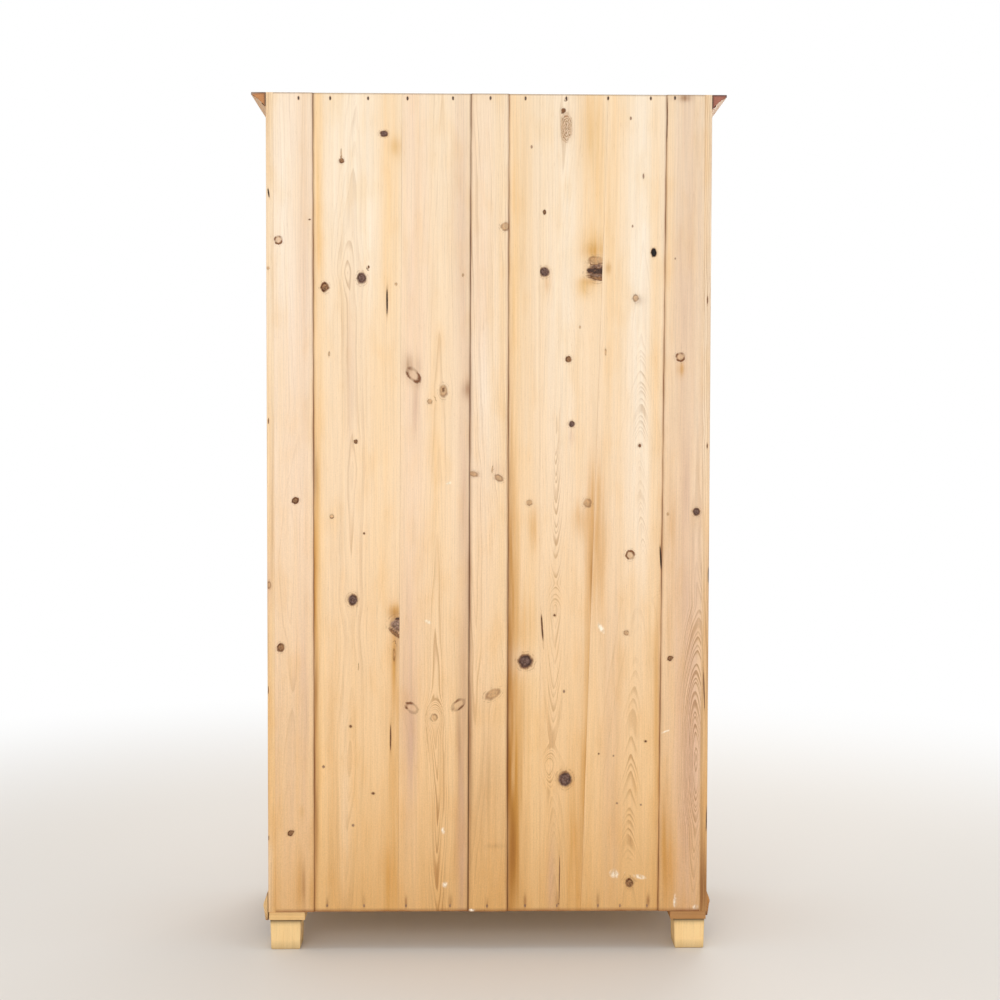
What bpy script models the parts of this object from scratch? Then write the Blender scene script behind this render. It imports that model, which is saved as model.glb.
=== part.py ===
"""Two-door pine wardrobe with a framed plank back, a mitred cornice and block feet.

Metres, +Z up. The doors face -Y and the plank back faces +Y. The origin lies on the floor,
in the middle of the box round the whole object. Left and right are those of someone who
stands in front of the doors, so right is +X.
"""

import math

import bmesh
import bpy
from mathutils import Matrix, Vector

# Overall sizes
HEIGHT = 1.900
CARCASS_WIDTH = 0.980
CARCASS_DEPTH = 0.500

# Clearances
GAP = 0.0003  # between pieces that are nailed, glued or seated on each other
PIN_CLEARANCE = 0.0002  # radial, round a hinge pin
SLIDE_CLEARANCE = 0.0004  # round a bolt in its guide
DOOR_GAP = 0.003  # reveal round each door and between the two
CUT_PAST = 0.002  # how far a cutter runs out through an open face

# Carcass boards
SIDE_THICKNESS = 0.022
TOP_THICKNESS = 0.020
BOTTOM_THICKNESS = 0.024
HOUSING_DEPTH = 0.010  # top and bottom boards are let this far into the sides

# Back frame and planks
BACK_LIP = 0.016  # what shows of each side board behind the back
BACK_FRAME_THICKNESS = 0.016
BACK_STILE_WIDTH = 0.0885
BACK_MUNTIN_WIDTH = 0.085
BACK_GROOVE_LEAN = 0.016  # left groove drifts outwards this far from foot to top
BACK_PANEL_THICKNESS = 0.012
BACK_PANEL_RECESS = 0.0025  # planks lie this far below the face of the stiles
TONGUE_THICKNESS = 0.006
TONGUE_LENGTH = 0.008

# Front frame
FRAME_THICKNESS = 0.022
FRONT_STILE_WIDTH = 0.055
FRIEZE_HEIGHT = 0.110
BOTTOM_RAIL_HEIGHT = 0.064
FRAME_TENON_LENGTH = 0.030
TENON_THICKNESS = 0.008
TENON_SHOULDER = 0.014  # above and below each tenon
STOP_GAP = 0.001  # between a shut door and the stop behind it
STOP_THICKNESS = 0.016
STOP_DROP = 0.015
STOP_BACKING = 0.030

# Doors
DOOR_THICKNESS = 0.022
DOOR_STILE_WIDTH = 0.072
DOOR_TOP_RAIL = 0.080
DOOR_MIDDLE_RAIL = 0.090
DOOR_BOTTOM_RAIL = 0.105
MIDDLE_RAIL_HEIGHT = 0.665  # its centre, above the floor
DOOR_TENON_LENGTH = 0.040
PANEL_EDGE_THICKNESS = 0.006
PANEL_GROOVE_DEPTH = 0.009
PANEL_PLAY = 0.0015  # room for a panel to swell in its groove
PANEL_SLOPE = 0.036  # width of the sloping margin
PANEL_SLOPE_RISE = 0.0030
PANEL_STEP_WIDTH = 0.0015
PANEL_STEP_RISE = 0.0020
BEAD_WIDTH = 0.022
BEAD_PROJECTION = 0.009

# Hinges
HINGE_END_DISTANCE = 0.190  # from a door's end to the middle of its hinge
HINGE_LENGTH = 0.080
HINGE_LEAF_WIDTH = 0.018
HINGE_LEAF_THICKNESS = 0.0016
HINGE_BARREL_RADIUS = 0.0045
HINGE_PIN_RADIUS = 0.0022
HINGE_PIN_LENGTH = 0.030
HINGE_PROUD = 0.005  # axis in front of the doors' face
HINGE_FINIAL_LENGTH = 0.009
HINGE_FINIAL_BALL = 0.0032
HINGE_FINIAL_NECK = 0.0025
HINGE_FINIAL_COVE = 0.0016
HINGE_PIN_TIP_RADIUS = 0.0015
HINGE_PIN_TIP_LENGTH = 0.0011

# Lock and key
LOCK_HEIGHT = 1.020
LOCK_BACKSET = 0.038  # keyhole from the meeting edge
LOCK_WIDTH = 0.066
LOCK_BELOW_KEY = 0.016
LOCK_ABOVE_KEY = 0.032
LOCK_DEPTH = 0.014
LOCK_WALL = 0.002
LOCK_BOLT_LENGTH = 0.046
LOCK_BOLT_HEIGHT = 0.012
LOCK_BOLT_THICKNESS = 0.006
LOCK_BOLT_ABOVE_KEY = 0.0125  # its lower edge over the key's axis
KEYHOLE_RADIUS = 0.0042
KEYHOLE_SLOT_WIDTH = 0.0044
KEYHOLE_SLOT_REACH = 0.0125
ESCUTCHEON_WIDTH = 0.024
ESCUTCHEON_HEIGHT = 0.046
ESCUTCHEON_THICKNESS = 0.0015
KEY_SHANK_RADIUS = 0.0030
KEY_BIT_REACH = 0.0105
KEY_BIT_WIDTH = 0.0065
KEY_BIT_THICKNESS = 0.0028
KEY_COLLAR_RADIUS = 0.0048
KEY_COLLAR_LENGTH = 0.004
KEY_STEM_OUT = 0.015  # from the door's face to the bow
KEY_BOW_RADIUS = 0.0100
KEY_BOW_WIRE = 0.0024

# Slide bolt on the left door
BOLT_PLATE_WIDTH = 0.026
BOLT_PLATE_HEIGHT = 0.092
BOLT_PLATE_THICKNESS = 0.002
BOLT_GUIDE_HEIGHT = 0.013
BOLT_GUIDE_DEPTH = 0.011
BOLT_GUIDE_WIDTH = 0.020
BOLT_GUIDE_INSET = 0.004  # from the plate's end
BOLT_END_OUT = 0.006  # drawn bolt's end past the plate
BOLT_WIDTH = 0.010
BOLT_THICKNESS = 0.005
BOLT_LENGTH = 0.104
BOLT_STANDOFF = 0.005  # bar's front face behind the door's inner face
BOLT_BELOW_STOP = 0.003  # drawn bolt's end below the stop
BOLT_POCKET_DEPTH = 0.014
BOLT_POCKET_ROOM = 0.0008
BOLT_KNOB_RADIUS = 0.0045
BOLT_KNOB_TIP_RADIUS = 0.0031
BOLT_KNOB_NECK_RADIUS = 0.0027
BOLT_KNOB_LENGTH = 0.009
BOLT_KNOB_SHOULDER = 0.0063

# Cornice and base mouldings
CORNICE_PROJECTION = 0.032
CORNICE_HEIGHT = 0.030
CORNICE_FILLET = 0.005
CORNICE_HOLLOW = 0.003
CORNICE_SETBACK_RIGHT = 0.0005  # rear end of each return, in front of the back
CORNICE_SETBACK_LEFT = 0.001
BASE_PROJECTION = 0.0115
BASE_HEIGHT = 0.062
BASE_BEVEL_HEIGHT = 0.024
BASE_NOSE_HEIGHT = 0.010  # upright nose under the bevel
BASE_TOP_WIDTH = 0.0026
BASE_BOTTOM_WIDTH = 0.0065
BASE_SETBACK_RIGHT = 0.004
BASE_SETBACK_LEFT = 0.030

# Feet
FOOT_HEIGHT = 0.068
FOOT_TOP_WIDTH = 0.0685
FOOT_BOTTOM_WIDTH = 0.0645
FOOT_OUTWARDS = 0.004  # from the middle of its plate towards the side
FOOT_PLATE_WIDTH = 0.080
FOOT_PLATE_THICKNESS = 0.018
FOOT_PLATE_INSET = 0.0015

# Inside
HAT_SPACE = 0.202  # clear height over the shelf
SHELF_THICKNESS = 0.018
SHELF_DEPTH = 0.400
SHELF_HOUSING = 0.006
RAIL_BELOW_SHELF = 0.075  # axis under the shelf's underside
RAIL_RADIUS = 0.015
RAIL_FROM_BACK = 0.225
RAIL_CLEARANCE = 0.0005
SOCKET_WIDTH = 0.062
SOCKET_THICKNESS = 0.022
SOCKET_BELOW = 0.034
SOCKET_ABOVE = 0.024

# Smoothness of round pieces, and how near two points are one
WELD_DISTANCE = 0.000005
WIRE_STEPS = 10
BARREL_STEPS = 20
ROUND_STEPS = 24
ARC_STEPS = 8

# Places that follow from the sizes
KEY_REACH = KEY_STEM_OUT + 2 * (KEY_BOW_RADIUS + KEY_BOW_WIRE)
FRONT_REACH = max(CORNICE_PROJECTION, KEY_REACH)
Y_FRONT = -(CARCASS_DEPTH - FRONT_REACH) / 2
Y_BACK = Y_FRONT + CARCASS_DEPTH
Y_FRAME_BACK = Y_FRONT + FRAME_THICKNESS
Y_DOOR_BACK = Y_FRONT + DOOR_THICKNESS
Y_DOOR_MIDDLE = Y_FRONT + DOOR_THICKNESS / 2
Y_BACK_INNER = Y_BACK - BACK_FRAME_THICKNESS
Y_STOP = Y_DOOR_BACK + STOP_GAP
Y_HINGE = Y_FRONT - HINGE_PROUD

HALF_WIDTH = CARCASS_WIDTH / 2
SIDE_INNER = HALF_WIDTH - SIDE_THICKNESS
OPENING_HALF = HALF_WIDTH - FRONT_STILE_WIDTH
HINGE_X = OPENING_HALF - DOOR_GAP / 2
MEETING_EDGE = DOOR_GAP / 2
HINGE_EDGE = OPENING_HALF - DOOR_GAP
BACK_STILE_OUTER = HALF_WIDTH - BACK_LIP - GAP
BACK_STILE_INNER = BACK_STILE_OUTER - BACK_STILE_WIDTH

CARCASS_BASE = FOOT_HEIGHT + FOOT_PLATE_THICKNESS + 2 * GAP
BOTTOM_BOARD_TOP = CARCASS_BASE + BOTTOM_THICKNESS
FRIEZE_BASE = HEIGHT - FRIEZE_HEIGHT
STOP_BASE = FRIEZE_BASE - STOP_DROP
SHELF_BASE = HEIGHT - TOP_THICKNESS - HAT_SPACE - SHELF_THICKNESS
RAIL_HEIGHT = SHELF_BASE - RAIL_BELOW_SHELF
BOTTOM_RAIL_TOP = CARCASS_BASE + BOTTOM_RAIL_HEIGHT
DOOR_BASE = BOTTOM_RAIL_TOP + DOOR_GAP
DOOR_TOP = FRIEZE_BASE - DOOR_GAP
MIDDLE_RAIL_BASE = MIDDLE_RAIL_HEIGHT - DOOR_MIDDLE_RAIL / 2
MIDDLE_RAIL_TOP = MIDDLE_RAIL_HEIGHT + DOOR_MIDDLE_RAIL / 2
HINGE_HEIGHTS = {
    "lower": DOOR_BASE + HINGE_END_DISTANCE,
    "upper": DOOR_TOP - HINGE_END_DISTANCE,
}
SIDES = {"left": -1, "right": 1}
DOOR_TENON_INSET = PANEL_GROOVE_DEPTH + TENON_SHOULDER


# Scene and materials


def clear_scene():
    for obj in list(bpy.data.objects):
        bpy.data.objects.remove(obj)


def make_collection(name):
    collection = bpy.data.collections.new(name)
    bpy.context.scene.collection.children.link(collection)
    return collection


def make_finish(name, colour, roughness, metallic=0.0):
    finish = bpy.data.materials.new(name)
    finish.use_nodes = True
    shader = finish.node_tree.nodes["Principled BSDF"]
    shader.inputs["Base Color"].default_value = (*colour, 1.0)
    shader.inputs["Roughness"].default_value = roughness
    shader.inputs["Metallic"].default_value = metallic
    return finish


clear_scene()
PARTS = make_collection("wardrobe")
CUTTERS = make_collection("cutters")
PINE = make_finish("old_pine", (0.74, 0.53, 0.32), 0.62)
BACK_PINE = make_finish("back_pine", (0.80, 0.60, 0.39), 0.70)
FOOT_PINE = make_finish("foot_pine", (0.82, 0.62, 0.33), 0.66)
CORNICE_PINE = make_finish("cornice_pine", (0.60, 0.34, 0.20), 0.60)
IRON = make_finish("dark_iron", (0.13, 0.11, 0.10), 0.50, 0.85)
BRASS = make_finish("aged_brass", (0.55, 0.40, 0.17), 0.40, 0.90)


# Building blocks


def world_place(parent):
    return parent.location.copy() if parent else Vector((0, 0, 0))


def add_piece(name, data, place, finish, parent=None):
    """A finished object: its data, its place in the world, its material and what carries it."""
    piece = bpy.data.objects.new(name, data)
    PARTS.objects.link(piece)
    data.materials.clear()
    data.materials.append(finish)
    piece.parent = parent
    piece.location = Vector(place) - world_place(parent)
    return piece


def add_pivot(name, place):
    pivot = bpy.data.objects.new(name, None)
    PARTS.objects.link(pivot)
    pivot.location = place
    return pivot


def add_helper(name, mesh, place=(0, 0, 0), turn=None):
    """A shape that only cuts or joins another one, so it isn't a piece."""
    helper = bpy.data.objects.new(name, mesh)
    CUTTERS.objects.link(helper)
    helper.location = place
    if turn is not None:
        helper.rotation_euler = turn.to_euler()
    helper.hide_render = True
    helper.display_type = "WIRE"
    return helper


def box_mesh(name, boxes, centre=(0, 0, 0)):
    """A mesh of one or more separate boxes, each given by its low and high corner."""
    shape = bmesh.new()
    for low, high in boxes:
        low, high = Vector(low), Vector(high)
        middle = (low + high) / 2 - Vector(centre)
        scale = Matrix.Diagonal((*(high - low), 1))
        bmesh.ops.create_cube(shape, size=1, matrix=Matrix.Translation(middle) @ scale)
    mesh = bpy.data.meshes.new(name)
    shape.to_mesh(mesh)
    shape.free()
    return mesh


def board(name, low, high, finish, parent=None):
    centre = (Vector(low) + Vector(high)) / 2
    return add_piece(name, box_mesh(name, [(low, high)], centre), centre, finish, parent)


def boolean(piece, helper, operation):
    step = piece.modifiers.new(helper.name, "BOOLEAN")
    step.operation = operation
    step.object = helper


def cut(piece, what, *boxes):
    """Cuts separate boxes, which don't meet each other, out of a piece."""
    name = f"{piece.name}_{what}"
    boolean(piece, add_helper(name, box_mesh(name, boxes)), "DIFFERENCE")


def join(piece, what, *boxes):
    name = f"{piece.name}_{what}"
    boolean(piece, add_helper(name, box_mesh(name, boxes)), "UNION")


def spread(sign, near, far):
    """The low and high X of what lies from near to far of the middle, on one side."""
    return sorted((sign * near, sign * far))


# Local X, Y and Z of an outline that is extruded along a world axis
ALONG = {
    "X": Matrix(((0, 0, 1), (1, 0, 0), (0, 1, 0))),
    "Y": Matrix(((0, 1, 0), (0, 0, 1), (1, 0, 0))),
    "Z": Matrix.Identity(3),
}


def outline_curve(name, outlines, length):
    curve = bpy.data.curves.new(name, "CURVE")
    curve.dimensions = "2D"
    curve.fill_mode = "BOTH"
    curve.extrude = length / 2
    for outline in outlines:
        spline = curve.splines.new("POLY")
        spline.points.add(len(outline) - 1)
        for point, (u, v) in zip(spline.points, outline):
            point.co = (u, v, 0, 1)
        spline.use_cyclic_u = True
    return curve


def extruded(name, outlines, axis, low, high, finish, parent=None):
    """A prism: outlines in the two world axes that follow the given one, from low to high along it."""
    turn = ALONG[axis]
    place = turn @ Vector((0, 0, (low + high) / 2))
    curve = outline_curve(name, outlines, high - low)
    piece = add_piece(name, curve, place, finish, parent)
    piece.rotation_euler = turn.to_euler()
    return piece


def curve_to_mesh(name, curve):
    """The closed mesh of a filled curve, with its loose caps welded on."""
    source = bpy.data.objects.new(f"{name}_curve", curve)
    CUTTERS.objects.link(source)
    graph = bpy.context.evaluated_depsgraph_get()
    mesh = bpy.data.meshes.new_from_object(source.evaluated_get(graph))
    bpy.data.objects.remove(source)
    shape = bmesh.new()
    shape.from_mesh(mesh)
    bmesh.ops.remove_doubles(shape, verts=shape.verts, dist=WELD_DISTANCE)
    bmesh.ops.recalc_face_normals(shape, faces=shape.faces)
    shape.to_mesh(mesh)
    shape.free()
    mesh.name = name
    return mesh


def arc(centre, radius, start, end, steps=ARC_STEPS):
    """Points of an arc, ends included, with its angles in degrees."""
    points = []
    for step in range(steps + 1):
        angle = math.radians(start + (end - start) * step / steps)
        points.append((centre[0] + radius * math.cos(angle), centre[1] + radius * math.sin(angle)))
    return points


def turned_mesh(name, profile):
    """A line of (radius, height) points, from the top down the outer side."""
    mesh = bpy.data.meshes.new(name)
    points = [(radius, 0, height) for radius, height in profile]
    edges = [(i, i + 1) for i in range(len(points) - 1)]
    mesh.from_pydata(points, edges, [])
    return mesh


def spin(piece, steps):
    screw = piece.modifiers.new("turning", "SCREW")
    screw.axis = "Z"
    screw.steps = screw.render_steps = steps
    screw.use_merge_vertices = True
    screw.merge_threshold = WELD_DISTANCE
    screw.use_smooth_shade = True


# Carcass


def build_sides():
    for side, sign in SIDES.items():
        x0, x1 = spread(sign, SIDE_INNER, HALF_WIDTH)
        name = f"side_{side}"
        front = Y_FRAME_BACK + GAP
        piece = board(name, (x0, front, CARCASS_BASE), (x1, Y_BACK, HEIGHT), PINE)
        inside = SIDE_INNER - CUT_PAST
        x0, x1 = spread(sign, inside, HALF_WIDTH - BACK_LIP)
        low = (x0, Y_BACK_INNER - GAP, CARCASS_BASE - CUT_PAST)
        cut(piece, "back_rebate", (low, (x1, Y_BACK + CUT_PAST, HEIGHT + CUT_PAST)))
        x0, x1 = spread(sign, inside, SIDE_INNER + HOUSING_DEPTH)
        low = (x0, front - CUT_PAST, HEIGHT - TOP_THICKNESS - GAP)
        cut(piece, "top_rebate", (low, (x1, Y_BACK_INNER, HEIGHT + CUT_PAST)))
        low = (x0, front - CUT_PAST, CARCASS_BASE - CUT_PAST)
        cut(piece, "bottom_rebate", (low, (x1, Y_BACK_INNER, BOTTOM_BOARD_TOP + GAP)))
        x0, x1 = spread(sign, inside, SIDE_INNER + SHELF_HOUSING)
        low = (x0, Y_BACK_INNER - 2 * GAP - SHELF_DEPTH, SHELF_BASE - GAP)
        top = SHELF_BASE + SHELF_THICKNESS + GAP
        cut(piece, "shelf_housing", (low, (x1, Y_BACK_INNER, top)))


def build_top_and_bottom():
    reach = SIDE_INNER + HOUSING_DEPTH - GAP
    front = Y_FRAME_BACK + GAP
    back = Y_BACK_INNER - GAP
    board("top_board", (-reach, front, HEIGHT - TOP_THICKNESS), (reach, back, HEIGHT), PINE)
    low = (-reach, front, CARCASS_BASE)
    board("bottom_board", low, (reach, back, BOTTOM_BOARD_TOP), PINE)


def grooved_outline(x0, x1, groove_low, groove_high):
    """A stile of the back seen from above, with a groove in either edge or both."""
    middle = Y_BACK - BACK_FRAME_THICKNESS / 2
    near = middle - TONGUE_THICKNESS / 2 - GAP
    far = middle + TONGUE_THICKNESS / 2 + GAP
    depth = TONGUE_LENGTH + GAP
    points = [(x0, Y_BACK_INNER), (x1, Y_BACK_INNER)]
    if groove_high:
        points += [(x1, near), (x1 - depth, near), (x1 - depth, far), (x1, far)]
    points += [(x1, Y_BACK), (x0, Y_BACK)]
    if groove_low:
        points += [(x0, far), (x0 + depth, far), (x0 + depth, near), (x0, near)]
    return points


def tongued_outline(x0, x1):
    """A plank panel of the back seen from above, with a tongue on each edge."""
    middle = Y_BACK - BACK_FRAME_THICKNESS / 2
    near, far = middle - TONGUE_THICKNESS / 2, middle + TONGUE_THICKNESS / 2
    face = Y_BACK - BACK_PANEL_RECESS
    inner = face - BACK_PANEL_THICKNESS
    tip0, tip1 = x0 - TONGUE_LENGTH + GAP, x1 + TONGUE_LENGTH - GAP
    return [
        (x0, inner),
        (x1, inner),
        (x1, near),
        (tip1, near),
        (tip1, far),
        (x1, far),
        (x1, face),
        (x0, face),
        (x0, far),
        (tip0, far),
        (tip0, near),
        (x0, near),
    ]


def back_board(name, outline, leaning_side=0, lean=0.0):
    """A full-height board of the back. The edge on one side of its middle leans from foot to top."""
    half = (HEIGHT - CARCASS_BASE) / 2
    mesh = curve_to_mesh(name, outline_curve(name, [outline], 2 * half))
    across = [x for x, y in outline]
    middle = (min(across) + max(across)) / 2
    for vertex in mesh.vertices:
        if (vertex.co.x - middle) * leaning_side > 0:
            vertex.co.x += lean / 2 * vertex.co.z / half
    add_piece(name, mesh, (0, 0, CARCASS_BASE + half), BACK_PINE)


def build_back():
    half = BACK_MUNTIN_WIDTH / 2
    leans = {"left": -BACK_GROOVE_LEAN, "right": 0.0}
    back_board("back_muntin", grooved_outline(-half, half, True, True))
    for side, sign in SIDES.items():
        x0, x1 = spread(sign, BACK_STILE_INNER, BACK_STILE_OUTER)
        outline = grooved_outline(x0, x1, sign > 0, sign < 0)
        back_board(f"back_stile_{side}", outline, -sign, leans[side])
        x0, x1 = spread(sign, half + GAP, BACK_STILE_INNER - GAP)
        back_board(f"back_panel_{side}", tongued_outline(x0, x1), sign, leans[side])


# Front frame


def hinge_recess(sign, edge, into, height):
    """Where a leaf is let into an edge: X from the edge into the wood, open at the front."""
    x0, x1 = spread(sign, edge - into * CUT_PAST, edge + into * (HINGE_LEAF_THICKNESS + GAP))
    half = HINGE_LENGTH / 2 + GAP
    low = (x0, Y_FRONT - CUT_PAST, height - half)
    return low, (x1, Y_FRONT + HINGE_LEAF_WIDTH + GAP, height + half)


def tenon_limits(y_middle):
    return y_middle - TENON_THICKNESS / 2, y_middle + TENON_THICKNESS / 2


def build_front_stiles():
    near, far = tenon_limits((Y_FRONT + Y_FRAME_BACK) / 2)
    rails = ((CARCASS_BASE, BOTTOM_RAIL_TOP), (FRIEZE_BASE, HEIGHT))
    for side, sign in SIDES.items():
        x0, x1 = spread(sign, OPENING_HALF, HALF_WIDTH)
        low, high = (x0, Y_FRONT, CARCASS_BASE), (x1, Y_FRAME_BACK, HEIGHT)
        piece = board(f"front_stile_{side}", low, high, PINE)
        x0, x1 = spread(sign, OPENING_HALF - CUT_PAST, OPENING_HALF + FRAME_TENON_LENGTH + GAP)
        mortises = [
            (
                (x0, near - GAP, rail_low + TENON_SHOULDER - GAP),
                (x1, far + GAP, rail_high - TENON_SHOULDER + GAP),
            )
            for rail_low, rail_high in rails
        ]
        leaves = [hinge_recess(sign, OPENING_HALF, 1, z) for z in HINGE_HEIGHTS.values()]
        cut(piece, "mortises", *mortises)
        cut(piece, "leaf_recesses", *leaves)


def frame_tenons(piece, z0, z1):
    near, far = tenon_limits((Y_FRONT + Y_FRAME_BACK) / 2)
    reach = OPENING_HALF + FRAME_TENON_LENGTH
    low = (-reach, near, z0 + TENON_SHOULDER)
    join(piece, "tenons", (low, (reach, far, z1 - TENON_SHOULDER)))


def build_bottom_rail():
    reach = OPENING_HALF - GAP
    low, high = (-reach, Y_FRONT, CARCASS_BASE), (reach, Y_FRAME_BACK, BOTTOM_RAIL_TOP)
    frame_tenons(board("bottom_rail", low, high, PINE), CARCASS_BASE, BOTTOM_RAIL_TOP)


def bolt_x():
    """Middle of the slide bolt, on the left door's meeting stile."""
    return -(MEETING_EDGE + DOOR_STILE_WIDTH / 2)


def build_frieze():
    """The rail over the doors, with the stop that they shut against on its back."""
    back = Y_STOP + STOP_THICKNESS
    outline = [
        (Y_FRONT, FRIEZE_BASE),
        (Y_STOP, FRIEZE_BASE),
        (Y_STOP, STOP_BASE),
        (back, STOP_BASE),
        (back, FRIEZE_BASE + STOP_BACKING),
        (Y_FRAME_BACK, FRIEZE_BASE + STOP_BACKING),
        (Y_FRAME_BACK, HEIGHT),
        (Y_FRONT, HEIGHT),
    ]
    reach = OPENING_HALF - GAP
    mesh = curve_to_mesh("frieze_rail", outline_curve("frieze_rail", [outline], 2 * reach))
    mesh.transform(ALONG["X"].to_4x4())
    piece = add_piece("frieze_rail", mesh, (0, 0, 0), PINE)
    frame_tenons(piece, FRIEZE_BASE, HEIGHT)
    half = BOLT_WIDTH / 2 + BOLT_POCKET_ROOM
    near = Y_DOOR_BACK + BOLT_STANDOFF - BOLT_POCKET_ROOM
    far = Y_DOOR_BACK + BOLT_STANDOFF + BOLT_THICKNESS + BOLT_POCKET_ROOM
    low = (bolt_x() - half, near, STOP_BASE - CUT_PAST)
    cut(piece, "bolt_pocket", (low, (bolt_x() + half, far, STOP_BASE + BOLT_POCKET_DEPTH)))


# Mouldings


def moulding(name, outline, out, face, low, high, mitres, finish):
    """A run of moulding. Its outline is (out from the face, up), and it runs along out x up
    from low to high. A mitre of 1 lengthens that end by its distance out from the face."""
    along = Vector(out).cross(Vector((0, 0, 1)))
    mesh = curve_to_mesh(name, outline_curve(name, [outline], high - low))
    half = (high - low) / 2
    for vertex in mesh.vertices:
        at_high = vertex.co.z > 0
        vertex.co.z = math.copysign(half, vertex.co.z)
        vertex.co.z += vertex.co.x * (mitres[1] if at_high else -mitres[0])
    turn = Matrix((out, (0, 0, 1), along)).transposed()
    mesh.transform(turn.to_4x4())
    return add_piece(name, mesh, Vector(face) + along * (low + high) / 2, finish)


def cornice_outline():
    """A flat top, a square fillet at the tip and a shallow hollow back to the carcass."""
    start = Vector((GAP, -CORNICE_HEIGHT))
    tip = Vector((CORNICE_PROJECTION, -CORNICE_FILLET))
    slope = tip - start
    inwards = Vector((-slope.y, slope.x)).normalized() * CORNICE_HOLLOW
    hollow = []
    for step in range(ARC_STEPS + 1):
        share = step / ARC_STEPS
        hollow.append(tuple(start + slope * share + inwards * 4 * share * (1 - share)))
    return [(GAP, 0), *hollow, (CORNICE_PROJECTION, 0)]


def base_outline():
    """An upright nose with a bevel over it and a slope back to the foot under it."""
    shoulder = BASE_HEIGHT - BASE_BEVEL_HEIGHT
    return [
        (GAP, 0),
        (BASE_BOTTOM_WIDTH, 0),
        (BASE_PROJECTION, shoulder - BASE_NOSE_HEIGHT),
        (BASE_PROJECTION, shoulder),
        (BASE_TOP_WIDTH, BASE_HEIGHT),
        (GAP, BASE_HEIGHT),
    ]


def build_moulding_set(name, outline, z, setbacks, finish):
    """A front run and two returns, mitred at the front corners and square at the back."""
    reach = HALF_WIDTH - GAP
    front = (0, Y_FRONT, z)
    moulding(f"{name}_front", outline, (0, -1, 0), front, -reach, reach, (1, 1), finish)
    for side, sign in SIDES.items():
        face = (sign * HALF_WIDTH, 0, z)
        ends = sorted((-sign * (Y_FRONT + GAP), -sign * (Y_BACK - setbacks[side])))
        mitres = (0, 1) if sign > 0 else (1, 0)
        moulding(f"{name}_{side}", outline, (sign, 0, 0), face, *ends, mitres, finish)


def build_cornice():
    setbacks = {"left": CORNICE_SETBACK_LEFT, "right": CORNICE_SETBACK_RIGHT}
    build_moulding_set("cornice", cornice_outline(), HEIGHT, setbacks, CORNICE_PINE)


def build_base():
    setbacks = {"left": BASE_SETBACK_LEFT, "right": BASE_SETBACK_RIGHT}
    build_moulding_set("base_moulding", base_outline(), FOOT_HEIGHT, setbacks, PINE)


# Feet


def build_foot(name, x, y):
    shape = bmesh.new()
    corner = math.sqrt(0.5)
    bmesh.ops.create_cone(
        shape,
        cap_ends=True,
        segments=4,
        radius1=FOOT_BOTTOM_WIDTH * corner,
        radius2=FOOT_TOP_WIDTH * corner,
        depth=FOOT_HEIGHT,
        matrix=Matrix.Rotation(math.radians(45), 4, "Z"),
    )
    mesh = bpy.data.meshes.new(name)
    shape.to_mesh(mesh)
    shape.free()
    add_piece(name, mesh, (x, y, FOOT_HEIGHT / 2), FOOT_PINE)


def build_feet():
    half = FOOT_PLATE_WIDTH / 2
    rows = {
        "front": Y_FRONT + FOOT_PLATE_INSET + half,
        "rear": Y_BACK - FOOT_PLATE_INSET - half,
    }
    z0 = FOOT_HEIGHT + GAP
    z1 = z0 + FOOT_PLATE_THICKNESS
    for row, y in rows.items():
        for side, sign in SIDES.items():
            x = sign * (HALF_WIDTH - FOOT_PLATE_INSET - half)
            low, high = (x - half, y - half, z0), (x + half, y + half, z1)
            board(f"foot_plate_{row}_{side}", low, high, PINE)
            build_foot(f"foot_{row}_{side}", x + sign * FOOT_OUTWARDS, y)


# Inside


def build_shelf():
    reach = SIDE_INNER + SHELF_HOUSING - GAP
    back = Y_BACK_INNER - GAP
    low = (-reach, back - SHELF_DEPTH, SHELF_BASE)
    board("hat_shelf", low, (reach, back, SHELF_BASE + SHELF_THICKNESS), PINE)


def build_hanging_rail():
    y = Y_BACK_INNER - RAIL_FROM_BACK
    reach = SIDE_INNER - 2 * GAP
    circle = arc((y, RAIL_HEIGHT), RAIL_RADIUS, 0, 360, ROUND_STEPS)[:-1]
    extruded("hanging_rail", [circle], "X", -reach, reach, PINE)
    radius = RAIL_RADIUS + RAIL_CLEARANCE
    half = SOCKET_WIDTH / 2
    top = RAIL_HEIGHT + SOCKET_ABOVE
    outline = [
        (y - half, RAIL_HEIGHT - SOCKET_BELOW),
        (y + half, RAIL_HEIGHT - SOCKET_BELOW),
        (y + half, top),
        (y + radius, top),
        *arc((y, RAIL_HEIGHT), radius, 0, -180, ROUND_STEPS // 2),
        (y - radius, top),
        (y - half, top),
    ]
    for side, sign in SIDES.items():
        x0, x1 = spread(sign, SIDE_INNER - GAP - SOCKET_THICKNESS, SIDE_INNER - GAP)
        extruded(f"rail_socket_{side}", [outline], "X", x0, x1, PINE)


# Doors


def door_rails():
    """Low and high Z of each rail, and whether a panel stands in its lower and upper edge."""
    return {
        "bottom_rail": (DOOR_BASE, DOOR_BASE + DOOR_BOTTOM_RAIL, False, True),
        "middle_rail": (MIDDLE_RAIL_BASE, MIDDLE_RAIL_TOP, True, True),
        "top_rail": (DOOR_TOP - DOOR_TOP_RAIL, DOOR_TOP, True, False),
    }


def panel_heights():
    rails = door_rails()
    return {
        "lower_panel": (rails["bottom_rail"][1], rails["middle_rail"][0]),
        "upper_panel": (rails["middle_rail"][1], rails["top_rail"][0]),
    }


def panel_groove():
    half = PANEL_EDGE_THICKNESS / 2 + GAP
    return Y_DOOR_MIDDLE - half, Y_DOOR_MIDDLE + half


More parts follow.
